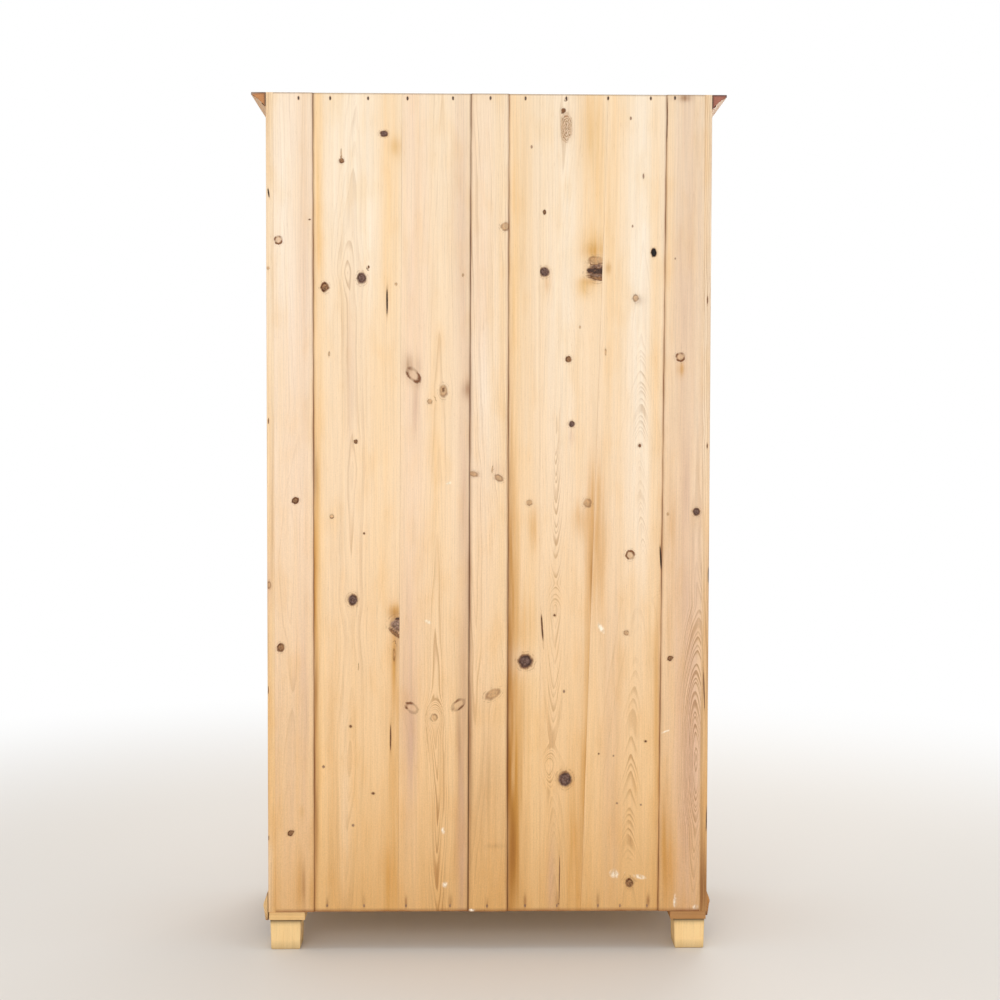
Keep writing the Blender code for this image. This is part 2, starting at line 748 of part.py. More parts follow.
def door_stile(name, sign, outer, into, pivot):
    """A stile from its outer edge inwards, with mortises and panel grooves in its inner edge."""
    inner = outer + into * DOOR_STILE_WIDTH
    x0, x1 = spread(sign, outer, inner)
    piece = board(name, (x0, Y_FRONT, DOOR_BASE), (x1, Y_DOOR_BACK, DOOR_TOP), PINE, pivot)
    near, far = tenon_limits(Y_DOOR_MIDDLE)
    past = inner + into * CUT_PAST
    x0, x1 = spread(sign, past, inner - into * (DOOR_TENON_LENGTH + GAP))
    mortises = [
        ((x0, near - GAP, z0 + DOOR_TENON_INSET - GAP), (x1, far + GAP, z1 - DOOR_TENON_INSET + GAP))
        for z0, z1, _, _ in door_rails().values()
    ]
    near, far = panel_groove()
    x0, x1 = spread(sign, past, inner - into * PANEL_GROOVE_DEPTH)
    grooves = [
        ((x0, near, z0 - PANEL_GROOVE_DEPTH), (x1, far, z1 + PANEL_GROOVE_DEPTH))
        for z0, z1 in panel_heights().values()
    ]
    cut(piece, "joints", *mortises, *grooves)
    return piece


def door_rail(name, sign, z0, z1, groove_low, groove_high, pivot):
    near_edge = MEETING_EDGE + DOOR_STILE_WIDTH + GAP
    far_edge = HINGE_EDGE - DOOR_STILE_WIDTH - GAP
    x0, x1 = spread(sign, near_edge, far_edge)
    piece = board(name, (x0, Y_FRONT, z0), (x1, Y_DOOR_BACK, z1), PINE, pivot)
    near, far = tenon_limits(Y_DOOR_MIDDLE)
    tenon = DOOR_TENON_LENGTH - GAP
    low = (x0 - tenon, near, z0 + DOOR_TENON_INSET)
    join(piece, "tenons", (low, (x1 + tenon, far, z1 - DOOR_TENON_INSET)))
    near, far = panel_groove()
    past0, past1 = x0 - CUT_PAST, x1 + CUT_PAST
    grooves = []
    if groove_low:
        grooves.append(((past0, near, z0 - CUT_PAST), (past1, far, z0 + PANEL_GROOVE_DEPTH)))
    if groove_high:
        grooves.append(((past0, near, z1 - PANEL_GROOVE_DEPTH), (past1, far, z1 + CUT_PAST)))
    cut(piece, "panel_grooves", *grooves)


def raise_field(shape, face, widths_and_rises):
    """Insets a face again and again, and brings each new face forward."""
    for width, rise in widths_and_rises:
        bmesh.ops.inset_individual(shape, faces=[face], thickness=width, use_even_offset=True)
        bmesh.ops.translate(shape, verts=face.verts, vec=(0, -rise, 0))


def door_panel(name, sign, z0, z1, pivot):
    """A panel whose thin edge stands in the grooves round it, with a raised field in front."""
    tongue = PANEL_GROOVE_DEPTH - PANEL_PLAY
    x0, x1 = spread(
        sign,
        MEETING_EDGE + DOOR_STILE_WIDTH - tongue,
        HINGE_EDGE - DOOR_STILE_WIDTH + tongue,
    )
    half = PANEL_EDGE_THICKNESS / 2
    low = (x0, Y_DOOR_MIDDLE - half, z0 - tongue)
    piece = board(name, low, (x1, Y_DOOR_MIDDLE + half, z1 + tongue), PINE, pivot)
    shape = bmesh.new()
    shape.from_mesh(piece.data)
    face = min(shape.faces, key=lambda f: f.calc_center_median().y)
    margin = tongue + PANEL_PLAY
    steps = [(margin, 0), (PANEL_SLOPE, PANEL_SLOPE_RISE), (PANEL_STEP_WIDTH, PANEL_STEP_RISE)]
    raise_field(shape, face, steps)
    shape.to_mesh(piece.data)
    shape.free()


def build_door(side, pivot):
    sign = SIDES[side]
    door = f"door_{side}"
    hinge_stile = door_stile(f"{door}_hinge_stile", sign, HINGE_EDGE, -1, pivot)
    leaves = [hinge_recess(sign, HINGE_EDGE, -1, z) for z in HINGE_HEIGHTS.values()]
    cut(hinge_stile, "leaf_recesses", *leaves)
    meeting_stile = door_stile(f"{door}_meeting_stile", sign, MEETING_EDGE, 1, pivot)
    for rail, limits in door_rails().items():
        door_rail(f"{door}_{rail}", sign, *limits, pivot)
    for panel, (z0, z1) in panel_heights().items():
        door_panel(f"{door}_{panel}", sign, z0, z1, pivot)
    return meeting_stile


def build_meeting_bead(pivot):
    """The half-round strip on the right door's meeting edge."""
    face = Y_FRONT - GAP
    half = BEAD_WIDTH / 2
    middle = MEETING_EDGE + half
    half_round = arc((0, 0), 1, 0, 180)
    outline = [(middle + half * u, face - BEAD_PROJECTION * v) for u, v in half_round]
    extruded("meeting_bead", [outline], "Z", DOOR_BASE, DOOR_TOP, PINE, pivot)


# Hinges


def hinge_leaf(name, sign, edge, into, barrel, height, half_low, half_high, parent):
    """A turned barrel with its leaf: the plate lies in an edge, and a neck joins it to the barrel."""
    mesh = turned_mesh(name, barrel)
    piece = add_piece(name, mesh, (sign * HINGE_X, Y_HINGE, height), IRON, parent)
    spin(piece, BARREL_STEPS)
    x0, x1 = spread(sign, edge, edge + into * HINGE_LEAF_THICKNESS)
    half = HINGE_LENGTH / 2
    plate = ((x0, Y_FRONT + GAP, height - half), (x1, Y_FRONT + HINGE_LEAF_WIDTH, height + half))
    wall_middle = Y_HINGE + (HINGE_PIN_RADIUS + PIN_CLEARANCE + HINGE_BARREL_RADIUS) / 2
    low = (x0, wall_middle, height + half_low)
    neck = (low, (x1, Y_FRONT + HINGE_LEAF_WIDTH / 2, height + half_high))
    join(piece, "plate", plate)
    join(piece, "neck", neck)


def finial_profile(end, direction):
    """A small ball on a neck, from the barrel's end to the axis."""
    ball = HINGE_FINIAL_BALL
    centre = end + direction * (HINGE_FINIAL_LENGTH - ball)
    points = [(HINGE_BARREL_RADIUS, end), (HINGE_FINIAL_NECK, end + direction * HINGE_FINIAL_COVE)]
    for angle in (-40, 0, 45):
        turn = math.radians(angle)
        points.append((ball * math.cos(turn), centre + direction * ball * math.sin(turn)))
    points.append((0, centre + direction * ball))
    return points


def build_hinges(side, pivot):
    sign = SIDES[side]
    half = HINGE_LENGTH / 2
    split = GAP  # half the gap between the two barrels
    bore = HINGE_PIN_RADIUS + PIN_CLEARANCE
    lower_barrel = [
        (0, HINGE_PIN_LENGTH),
        (HINGE_PIN_TIP_RADIUS, HINGE_PIN_LENGTH),
        (HINGE_PIN_RADIUS, HINGE_PIN_LENGTH - HINGE_PIN_TIP_LENGTH),
        (HINGE_PIN_RADIUS, -split),
        (HINGE_BARREL_RADIUS, -split),
        *finial_profile(-half, -1),
    ]
    upper_barrel = [
        *reversed(finial_profile(half, 1)),
        (HINGE_BARREL_RADIUS, split),
        (bore, split),
        (bore, HINGE_PIN_LENGTH + SLIDE_CLEARANCE),
        (0, HINGE_PIN_LENGTH + SLIDE_CLEARANCE),
    ]
    for place, height in HINGE_HEIGHTS.items():
        label = f"hinge_{side}_{place}"
        frame = (sign, OPENING_HALF, 1, lower_barrel, height, -half, -split)
        hinge_leaf(f"{label}_frame_leaf", *frame, None)
        door = (sign, HINGE_EDGE, -1, upper_barrel, height, split, half)
        hinge_leaf(f"{label}_door_leaf", *door, pivot)


# Lock and key, on the right door


def keyhole_outline(x, z, room=0.0):
    """A round hole with a slot below it, as (z, x) points."""
    radius = KEYHOLE_RADIUS + room
    half = KEYHOLE_SLOT_WIDTH / 2 + room
    start = math.degrees(math.asin(half / radius))
    bottom = z - KEYHOLE_SLOT_REACH - room
    ring = [(z - v, x + u) for v, u in arc((0, 0), radius, start, 360 - start, ROUND_STEPS)]
    return [(bottom, x + half), *ring, (bottom, x - half)]


def build_lock(pivot, meeting_stile):
    key_x = MEETING_EDGE + LOCK_BACKSET
    hole = outline_curve("keyhole", [keyhole_outline(key_x, LOCK_HEIGHT)], 2 * DOOR_THICKNESS)
    keyhole = add_helper("keyhole_cutter", curve_to_mesh("keyhole_cutter", hole))
    keyhole.data.transform(ALONG["Y"].to_4x4())
    keyhole.location = (0, Y_DOOR_MIDDLE, 0)
    boolean(meeting_stile, keyhole, "DIFFERENCE")

    x0, x1 = MEETING_EDGE + GAP, MEETING_EDGE + LOCK_WIDTH
    y0, y1 = Y_DOOR_BACK + GAP, Y_DOOR_BACK + LOCK_DEPTH
    z0, z1 = LOCK_HEIGHT - LOCK_BELOW_KEY, LOCK_HEIGHT + LOCK_ABOVE_KEY
    case = board("lock_case", (x0, y0, z0), (x1, y1, z1), IRON, pivot)
    low = (x0 + LOCK_WALL, y0 - CUT_PAST, z0 + LOCK_WALL)
    cut(case, "hollow", (low, (x1 - LOCK_WALL, y1 - LOCK_WALL, z1 - LOCK_WALL)))

    bolt_far = y1 - LOCK_WALL - GAP
    bolt_near = bolt_far - LOCK_BOLT_THICKNESS
    bolt_base = LOCK_HEIGHT + LOCK_BOLT_ABOVE_KEY
    bolt_top = bolt_base + LOCK_BOLT_HEIGHT
    room = SLIDE_CLEARANCE
    low = (x0 - CUT_PAST, bolt_near - room, bolt_base - room)
    high = (x0 + LOCK_WALL + CUT_PAST, bolt_far + GAP / 2, bolt_top + room)
    cut(case, "bolt_slot", (low, high))
    low, high = (x0, bolt_near, bolt_base), (x0 + LOCK_BOLT_LENGTH, bolt_far, bolt_top)
    board("lock_bolt", low, high, IRON, pivot)

    circle = arc((0, 0), 1, 0, 360, ROUND_STEPS)[:-1]
    oval = [(LOCK_HEIGHT + ESCUTCHEON_HEIGHT / 2 * u, key_x + ESCUTCHEON_WIDTH / 2 * v) for u, v in circle]
    front = Y_FRONT - GAP
    outlines = [oval, keyhole_outline(key_x, LOCK_HEIGHT)]
    extruded("escutcheon", outlines, "Y", front - ESCUTCHEON_THICKNESS, front, BRASS, pivot)


def build_key(pivot):
    """A turned shank with a ring bow at its outer end and a bit at its inner one."""
    inner = DOOR_THICKNESS + LOCK_DEPTH - LOCK_WALL - LOCK_BOLT_THICKNESS / 2
    collar = ESCUTCHEON_THICKNESS + GAP + SLIDE_CLEARANCE
    profile = [
        (0, KEY_STEM_OUT + KEY_BOW_WIRE),
        (KEY_SHANK_RADIUS, KEY_STEM_OUT + KEY_BOW_WIRE),
        (KEY_SHANK_RADIUS, collar + KEY_COLLAR_LENGTH),
        (KEY_COLLAR_RADIUS, collar + KEY_COLLAR_LENGTH),
        (KEY_COLLAR_RADIUS, collar),
        (KEY_SHANK_RADIUS, collar),
        (KEY_SHANK_RADIUS, -inner),
        (0, -inner),
    ]
    place = Vector((MEETING_EDGE + LOCK_BACKSET, Y_FRONT, LOCK_HEIGHT))
    key = add_piece("key", turned_mesh("key", profile), place, BRASS, pivot)
    key.rotation_euler = (math.radians(90), 0, 0)
    spin(key, BARREL_STEPS)
    bit_back = Y_FRONT + inner - GAP
    half = KEY_BIT_THICKNESS / 2
    low = (place.x - half, bit_back - KEY_BIT_WIDTH, place.z - KEY_BIT_REACH)
    join(key, "bit", (low, (place.x + half, bit_back, place.z)))
    bow_y = Y_FRONT - KEY_STEM_OUT - KEY_BOW_WIRE - KEY_BOW_RADIUS
    bpy.ops.mesh.primitive_torus_add(
        location=(place.x, bow_y, place.z),
        rotation=(0, math.radians(90), 0),
        major_radius=KEY_BOW_RADIUS,
        minor_radius=KEY_BOW_WIRE,
        major_segments=ROUND_STEPS,
        minor_segments=WIRE_STEPS,
    )
    ring = bpy.context.object
    bow = add_helper("key_bow", ring.data, ring.location, ring.rotation_euler.to_matrix())
    bpy.data.objects.remove(ring)
    boolean(key, bow, "UNION")


# Slide bolt, on the left door


def build_slide_bolt(pivot):
    middle = bolt_x()
    top = STOP_BASE - BOLT_BELOW_STOP
    base = top - BOLT_LENGTH
    plate_top = top - BOLT_END_OUT
    plate_base = plate_top - BOLT_PLATE_HEIGHT
    y0 = Y_DOOR_BACK + GAP
    y1 = Y_DOOR_BACK + BOLT_PLATE_THICKNESS
    half = BOLT_PLATE_WIDTH / 2
    low, high = (middle - half, y0, plate_base), (middle + half, y1, plate_top)
    plate = board("bolt_plate", low, high, IRON, pivot)

    half = BOLT_GUIDE_WIDTH / 2
    y_low = Y_DOOR_BACK + BOLT_PLATE_THICKNESS / 2
    y_high = Y_DOOR_BACK + BOLT_PLATE_THICKNESS + BOLT_GUIDE_DEPTH
    guides = [
        ((middle - half, y_low, z), (middle + half, y_high, z + BOLT_GUIDE_HEIGHT))
        for z in (plate_base + BOLT_GUIDE_INSET, plate_top - BOLT_GUIDE_INSET - BOLT_GUIDE_HEIGHT)
    ]
    join(plate, "guides", *guides)
    half = BOLT_WIDTH / 2
    near = Y_DOOR_BACK + BOLT_STANDOFF
    far = near + BOLT_THICKNESS
    room = SLIDE_CLEARANCE
    low = (middle - half - room, near - room, base - CUT_PAST)
    cut(plate, "channel", (low, (middle + half + room, far + room, top + CUT_PAST)))

    bolt = board("slide_bolt", (middle - half, near, base), (middle + half, far, top), IRON, pivot)
    knob = turned_mesh(
        "slide_bolt_knob",
        [
            (0, BOLT_KNOB_LENGTH),
            (BOLT_KNOB_TIP_RADIUS, BOLT_KNOB_LENGTH),
            (BOLT_KNOB_RADIUS, BOLT_KNOB_SHOULDER),
            (BOLT_KNOB_NECK_RADIUS, 0),
            (BOLT_KNOB_NECK_RADIUS, -BOLT_THICKNESS / 2),
            (0, -BOLT_THICKNESS / 2),
        ],
    )
    centre = (middle, far, (plate_base + plate_top) / 2 - BOLT_POCKET_DEPTH / 2)
    handle = add_helper("slide_bolt_knob", knob, centre, Matrix.Rotation(math.radians(-90), 3, "X"))
    spin(handle, BARREL_STEPS)
    boolean(bolt, handle, "UNION")


def build_doors():
    for side, sign in SIDES.items():
        pivot = add_pivot(f"door_{side}_axis", (sign * HINGE_X, Y_HINGE, DOOR_BASE))
        meeting_stile = build_door(side, pivot)
        build_hinges(side, pivot)
        if side == "right":
            build_meeting_bead(pivot)
            build_lock(pivot, meeting_stile)
            build_key(pivot)
        else:
            build_slide_bolt(pivot)


build_sides()
build_top_and_bottom()
build_back()
build_front_stiles()
build_bottom_rail()
build_frieze()
build_cornice()
build_base()
build_feet()
build_shelf()
build_hanging_rail()
build_doors()
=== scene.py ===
# %% [markdown]
# # A stripped pine wardrobe, seen from behind
# The wardrobe has two doors at the front and a framed plank back, which is the side that the picture shows.
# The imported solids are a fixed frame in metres: +Z is up, the doors face -Y and the back faces +Y. Each
# step below dresses some of these solids. A new surface is worked out with numpy, takes the place of its
# solid, and rides on the same body, so the doors, the key and the bolts still move.

from collections import namedtuple

import bpy
import numpy as np
from mathutils import Matrix, Vector


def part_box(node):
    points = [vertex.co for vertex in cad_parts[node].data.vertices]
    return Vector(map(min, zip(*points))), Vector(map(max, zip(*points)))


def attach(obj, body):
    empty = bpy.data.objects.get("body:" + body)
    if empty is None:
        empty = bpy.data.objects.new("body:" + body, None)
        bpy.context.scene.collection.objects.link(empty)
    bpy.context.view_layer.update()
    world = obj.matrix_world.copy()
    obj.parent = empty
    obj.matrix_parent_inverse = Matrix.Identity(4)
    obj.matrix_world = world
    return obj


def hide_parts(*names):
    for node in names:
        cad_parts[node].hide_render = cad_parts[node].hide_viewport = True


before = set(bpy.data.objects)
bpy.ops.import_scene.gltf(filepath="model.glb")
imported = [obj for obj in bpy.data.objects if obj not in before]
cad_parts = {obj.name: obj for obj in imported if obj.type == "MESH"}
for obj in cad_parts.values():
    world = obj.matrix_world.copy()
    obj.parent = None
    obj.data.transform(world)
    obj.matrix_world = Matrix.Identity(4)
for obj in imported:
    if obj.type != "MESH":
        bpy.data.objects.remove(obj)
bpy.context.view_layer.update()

# %% [markdown]
# ## The camera
# The picture was taken from about three and a half metres behind the wardrobe, a little above half its
# height. A camera can be placed by eye, but the four corners of the back and the feet fix it well, so the
# values here were fitted to those corners. The same values also lead from a picture point to a place on the
# back.

# %% Camera
PICTURE = 1000  # pixels across and down
SENSOR = 36.0  # millimetres
FOCAL = 1531.0  # pixels
EYE = np.array([0.0345, 3.6577, 1.1308])
YAW = 0.01753
PITCH = 0.03628
ROLL = 0.00228
FAR_END = 60.0  # metres, where the view ends


def sight_axes(yaw, pitch, roll):
    """Right, up and forward of a camera that looks along -Y. Forward is turned by yaw about Z, then down
    by pitch; right is level and square to it, up is right cross forward, and roll turns these two."""
    forward = -np.array([np.sin(yaw) * np.cos(pitch), np.cos(yaw) * np.cos(pitch), np.sin(pitch)])
    level = np.array([-np.cos(yaw), np.sin(yaw), 0.0])
    upright = np.cross(level, forward)
    right = np.cos(roll) * level + np.sin(roll) * upright
    up = np.cos(roll) * upright - np.sin(roll) * level
    return right, up, forward


RIGHT, UP, FORWARD = sight_axes(YAW, PITCH, ROLL)
camera = bpy.data.objects.new("camera", bpy.data.cameras.new("camera"))
camera.data.sensor_width = SENSOR
camera.data.lens = FOCAL / PICTURE * SENSOR
camera.data.clip_end = FAR_END
turned = np.eye(4)
turned[:3, :] = np.stack([RIGHT, UP, -FORWARD, EYE], axis=1)
camera.matrix_world = Matrix(turned.tolist())
bpy.context.scene.collection.objects.link(camera)
bpy.context.scene.camera = camera
print("lens", round(camera.data.lens, 2), "mm")

# %% [markdown]
# ## Shader sums
# A finish is a small sum: a tone, darker where a growth ring ends, darker again in a knot. Nodes can be
# placed one by one, but sums read better, so one class wraps a socket and lets Python's own signs add Math
# nodes. Colours go through Mix and Vector Math, since a Math node would turn them grey.

# %% Sockets that can be added and multiplied
class Wire:
    """One socket of a node tree. Signs between wires and numbers add Math nodes; node() adds any node."""

    def __init__(self, tree, socket=None):
        self.tree = tree
        self.socket = socket

    def node(self, kind, settings=None, inputs=None, out=0):
        """Adds a node: its settings first, then a value or a link for each named or numbered socket."""
        made = self.tree.nodes.new(kind)
        for name, value in (settings or {}).items():
            setattr(made, name, value)
        for key, value in (inputs or {}).items():
            if isinstance(value, Wire):
                self.tree.links.new(value.socket, made.inputs[key])
            else:
                made.inputs[key].default_value = value
        return Wire(self.tree, made.outputs[out])

    def sum(self, operation, *values):
        return self.node("ShaderNodeMath", {"operation": operation}, dict(enumerate(values)))

    def __add__(self, other):
        return self.sum("ADD", self, other)

    def __sub__(self, other):
        return self.sum("SUBTRACT", self, other)

    def __rsub__(self, other):
        return self.sum("SUBTRACT", other, self)

    def __mul__(self, other):
        return self.sum("MULTIPLY", self, other)

    def __truediv__(self, other):
        return self.sum("DIVIDE", self, other)

    __radd__ = __add__
    __rmul__ = __mul__

    def step(self, low, high):
        """0 below low, 1 above high, and an S-shaped slope between."""
        settings = {"interpolation_type": "SMOOTHSTEP"}
        return self.node("ShaderNodeMapRange", settings, {0: self, 1: low, 2: high, 3: 0.0, 4: 1.0})

    def fall(self, low, high):
        """1 below low, 0 above high, and an S-shaped slope between."""
        return 1 - self.step(low, high)

    def towards(self, factor, colour, blend="MIX"):
        """This colour, blended by factor with another one."""
        settings = {"data_type": "RGBA", "blend_type": blend}
        return self.node("ShaderNodeMix", settings, {0: factor, 6: self, 7: colour}, 2)

    def darkened(self, factor, tint):
        """This colour, where factor is 1, times a tint."""
        return self.towards(factor, tint, "MULTIPLY")

    def through(self, operation):
        """This number through a Math node of one input."""
        return self.sum(operation, self)

    def vector(self, operation, other=(0, 0, 0), out=0):
        """This vector and another through a Vector Math node. A length comes out of its second socket."""
        return self.node("ShaderNodeVectorMath", {"operation": operation}, {0: self, 1: other}, out)

    def length(self):
        return self.vector("LENGTH", out=1)

    def scaled(self, *sizes):
        """This vector times three sizes."""
        return self.vector("MULTIPLY", sizes)

    def moved(self, way):
        """This vector plus another."""
        return self.vector("ADD", way)

    def lighter(self, factor):
        """This colour times a number."""
        return self.node("ShaderNodeVectorMath", {"operation": "SCALE"}, {0: self, "Scale": factor})

    def noise(self, detail, out=0):
        """Smooth noise from 0 to 1, one bump to a unit of this vector. Its second socket gives three."""
        return self.node("ShaderNodeTexNoise", None, {"Vector": self, "Scale": 1.0, "Detail": detail}, out)

    def jitter(self, size):
        """A vector of two smooth noises in x and y, each from minus half of size to half of size."""
        return self.noise(1.0, 1).moved((-0.5, -0.5, 0)).scaled(size, size, 0)

    def joined(self, x, y, z=0.0):
        """A vector of three numbers."""
        return self.node("ShaderNodeCombineXYZ", None, {0: x, 1: y, 2: z})

    def fixed(self, number):
        """A number that stays the same, as a wire."""
        made = self.tree.nodes.new("ShaderNodeValue")
        made.outputs[0].default_value = number
        return Wire(self.tree, made.outputs[0])

    def parts(self):
        """The three numbers of this vector."""
        apart = self.node("ShaderNodeSeparateXYZ", None, {0: self}).socket.node
        return [Wire(self.tree, socket) for socket in apart.outputs]

    def into(self, socket):
        self.tree.links.new(self.socket, socket)


def new_finish(name, fixed):
    """An empty material with its fixed shader values, its first wire and its shader's sockets."""
    material = bpy.data.materials.new(name)
    material.use_nodes = True
    sockets = material.node_tree.nodes["Principled BSDF"].inputs
    for key, value in fixed.items():
        sockets[key].default_value = value
    return material, Wire(material.node_tree), sockets


def place_in_piece(wire):
    """A point's place in the coordinates of its own piece, in metres."""
    return wire.node("ShaderNodeTexCoord", out=3)


def bump_into(sockets, height, strength, distance):
    """Dents that only the light shows: a height from 0 to 1, times a distance in metres."""
    values = {"Strength": strength, "Distance": distance, "Height": height}
    height.node("ShaderNodeBump", None, values).into(sockets["Normal"])


def linear(red, green, blue):
    """A screen colour as linear light: ((c + 0.055) / 1.055) to the power 2.4, with c from 0 to 1."""
    return ((np.array([red, green, blue]) / 255 + 0.055) / 1.055) ** 2.4


print("shader sums ready")

# %% [markdown]
# ## Floor and light
# A studio sweep could be a bent sheet. A flat floor that fades to white a few metres out does the same, and
# it still takes the wardrobe's shadow. The world gives most of the light, so a colour looks about as it is
# written, and three large soft lamps give the boards a little shape.

# %% Floor, world and lamps
FLOOR_HALF = 14.0
FLOOR_TONE = linear(226, 222, 216)
FADE_NEAR = 1.3
FADE_FAR = 3.4
SKY_LIGHT = 0.60


def seen_rays(wire):
    """1 for rays from the camera, off metal or through glass, and 0 for light that falls on the object."""
    path = wire.node("ShaderNodeLightPath").socket.node
    names = ("Is Camera Ray", "Is Glossy Ray", "Is Transmission Ray")
    direct, glossy, passing = (Wire(wire.tree, path.outputs[name]) for name in names)
    total = direct + glossy + passing
    return total.sum("MINIMUM", total, 1.0)


floor_mesh = bpy.data.meshes.new("floor")
corners = np.array([(-1, -1, 0), (1, -1, 0), (1, 1, 0), (-1, 1, 0)]) * FLOOR_HALF
floor_mesh.from_pydata(corners.tolist(), [], [(0, 1, 2, 3)])
floor = bpy.data.objects.new("floor", floor_mesh)
bpy.context.scene.collection.objects.link(floor)
floor_paint, wire, sockets = new_finish("floor_paint", {"Roughness": 0.9})
sockets["Base Color"].default_value = (*FLOOR_TONE, 1)
away = place_in_piece(wire).scaled(1, 1, 0).length()
white = wire.node("ShaderNodeEmission", None, {"Color": (1, 1, 1, 1), "Strength": 1.0})
shader = Wire(wire.tree, wire.tree.nodes["Principled BSDF"].outputs[0])
fade = away.step(FADE_NEAR, FADE_FAR) * seen_rays(wire)
faded = wire.node("ShaderNodeMixShader", None, {0: fade, 1: shader, 2: white})
faded.into(wire.tree.nodes["Material Output"].inputs[0])
floor_mesh.materials.append(floor_paint)

world = bpy.data.worlds.new("studio")
bpy.context.scene.world = world
world.use_nodes = True
wire = Wire(world.node_tree)
level = SKY_LIGHT + (1.0 - SKY_LIGHT) * seen_rays(wire)
level.into(world.node_tree.nodes["Background"].inputs["Strength"])
world.node_tree.nodes["Background"].inputs["Color"].default_value = (1, 1, 1, 1)

Lamp = namedtuple("Lamp", "name place aim size power")
LAMPS = (
    Lamp("lamp_behind", (0.6, 4.6, 1.8), (0, 0.27, 1.0), 3.0, 75),
    Lamp("lamp_front", (-1.2, -4.0, 2.8), (0, -0.2, 1.0), 3.0, 72),
    Lamp("lamp_above", (0, 0, 4.6), (0, 0, 1.0), 3.0, 60),
)


def hang_lamp(lamp):
    """A square soft lamp whose -Z axis points from its place to its aim."""
    data = bpy.data.lights.new(lamp.name, "AREA")
    data.size = lamp.size
    data.energy = lamp.power
    made = bpy.data.objects.new(lamp.name, data)
    made.location = lamp.place
    way = Vector(lamp.aim) - Vector(lamp.place)
    made.rotation_euler = way.to_track_quat("-Z", "Y").to_euler()
    bpy.context.scene.collection.objects.link(made)


for lamp in LAMPS:
    hang_lamp(lamp)
bpy.context.scene.view_settings.view_transform = "Standard"
print("lamps", len(LAMPS))

# %% [markdown]
# ## Surfaces from arrays
# A board is a closed loop carried along a line: row after row of points, with a face over each end. That
# could be a cube with a Bevel, but arrays let every point carry its own tone and its own place in the tree
# it grew in.

# %% Meshes from loops
SMOOTH_ANGLE = np.radians(38)


def loft_faces(rows, around, closed=False):
    """Four-cornered faces between neighbouring loops. Each loop runs anticlockwise, seen from ahead."""
    row = np.arange(rows if closed else rows - 1)[:, None]
    here = np.arange(around)[None, :]
    after = (here + 1) % around
    below = row * around
    above = (row + 1) % rows * around
    return np.stack([below + here, below + after, above + after, above + here], -1).reshape(-1, 4)


def turned_out(points, quads, caps):
    """Faces with their order reversed where the volume they close, a sixth of the sum of a dot (b cross c)
    over the triangles of every face, comes out below zero."""
    caps = [np.asarray(cap) for cap in caps]
    fans = [np.stack([np.full(len(cap) - 2, cap[0]), cap[1:-1], cap[2:]], -1) for cap in caps]
    a, b, c = np.concatenate([quads[:, [0, 1, 2]], quads[:, [0, 2, 3]], *fans]).T
    if np.einsum("ij,ij->", points[a], np.cross(points[b], points[c])) < 0:
        return quads[:, ::-1], [cap[::-1] for cap in caps]
    return quads, caps


def put_mesh(name, points, quads, caps=()):
    """A mesh from points, four-cornered faces and a few many-cornered end faces, all as whole arrays."""
    mesh = bpy.data.meshes.new(name)
    quads, caps = turned_out(points, quads, caps)
    corners = np.concatenate([quads.ravel(), *caps]).astype(np.int32)
    counts = np.array([4] * len(quads) + [len(cap) for cap in caps], np.int32)
    mesh.vertices.add(len(points))
    mesh.vertices.foreach_set("co", np.ascontiguousarray(points, np.float32).ravel())
    mesh.loops.add(len(corners))
    mesh.loops.foreach_set("vertex_index", corners)
    mesh.polygons.add(len(counts))
    mesh.polygons.foreach_set("loop_start", np.concatenate([[0], np.cumsum(counts)[:-1]]).astype(np.int32))
    mesh.polygons.foreach_set("loop_total", counts)
    mesh.update(calc_edges=True)
    mesh.validate()
    mesh.shade_smooth()
    mesh.set_sharp_from_angle(angle=SMOOTH_ANGLE)
    return mesh


def loft(name, rings):
    """A closed solid through loops of points (rows, around, 3), with a flat face over each end."""
    rows, around = rings.shape[:2]
    last = (rows - 1) * around + np.arange(around)
    return put_mesh(name, rings.reshape(-1, 3), loft_faces(rows, around), (np.arange(around)[::-1], last))


def carry(mesh, name, kind, values):
    """A named value on every point of a mesh: FLOAT, FLOAT_VECTOR or FLOAT_COLOR."""
    if kind == "FLOAT_COLOR":
        values = np.concatenate([values, np.ones(values.shape[:-1] + (1,))], -1)
    field = {"FLOAT": "value", "FLOAT_VECTOR": "vector", "FLOAT_COLOR": "color"}[kind]
    flat = np.ascontiguousarray(values, np.float32).ravel()
    mesh.attributes.new(name, kind, "POINT").data.foreach_set(field, flat)


def add_piece(mesh, finish, body, nodes=()):
    """Shows a mesh as a piece with its finish, on a body, in the place of the solids it stands for."""
    piece = bpy.data.objects.new(mesh.name, mesh)
    bpy.context.scene.collection.objects.link(piece)
    mesh.materials.append(finish)
    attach(piece, body)
    if nodes:
        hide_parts(*nodes)
    return piece


print("mesh helpers ready")

# %% [markdown]
# ## The boards of the back
# Five boards show from behind: two stiles, a middle board, and two wide panels that sit a little deeper.
# The panels are glued up from narrower planks, two in one and three in the other, and the right-hand planks
# taper. Each plank is its own piece, so the knots that the saw cut through end at the glue line as they do
# in life. A place seen in the picture is followed along the line of sight to the back, so it lands where it
# was seen.

# %% Where the planks meet
PIXEL = 0.00222  # metres on the back
HEAD_ROW = 95
FOOT_ROW = 910
LEAN_FOOT, LEAN_HEAD = 0.0042, 0.0135  # how far the leaning stile's edge draws in
STILE_TRIM = 0.0026
MUNTIN_FLARE = np.array([0.0012, -0.0030])  # at the foot and at the head
JOINT_GAP = 0.0001
SEAM_GAP = 0.00015


def corners_of(node):
    """The low and the high corner of a solid's box."""
    return [np.array(corner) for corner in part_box(node)]


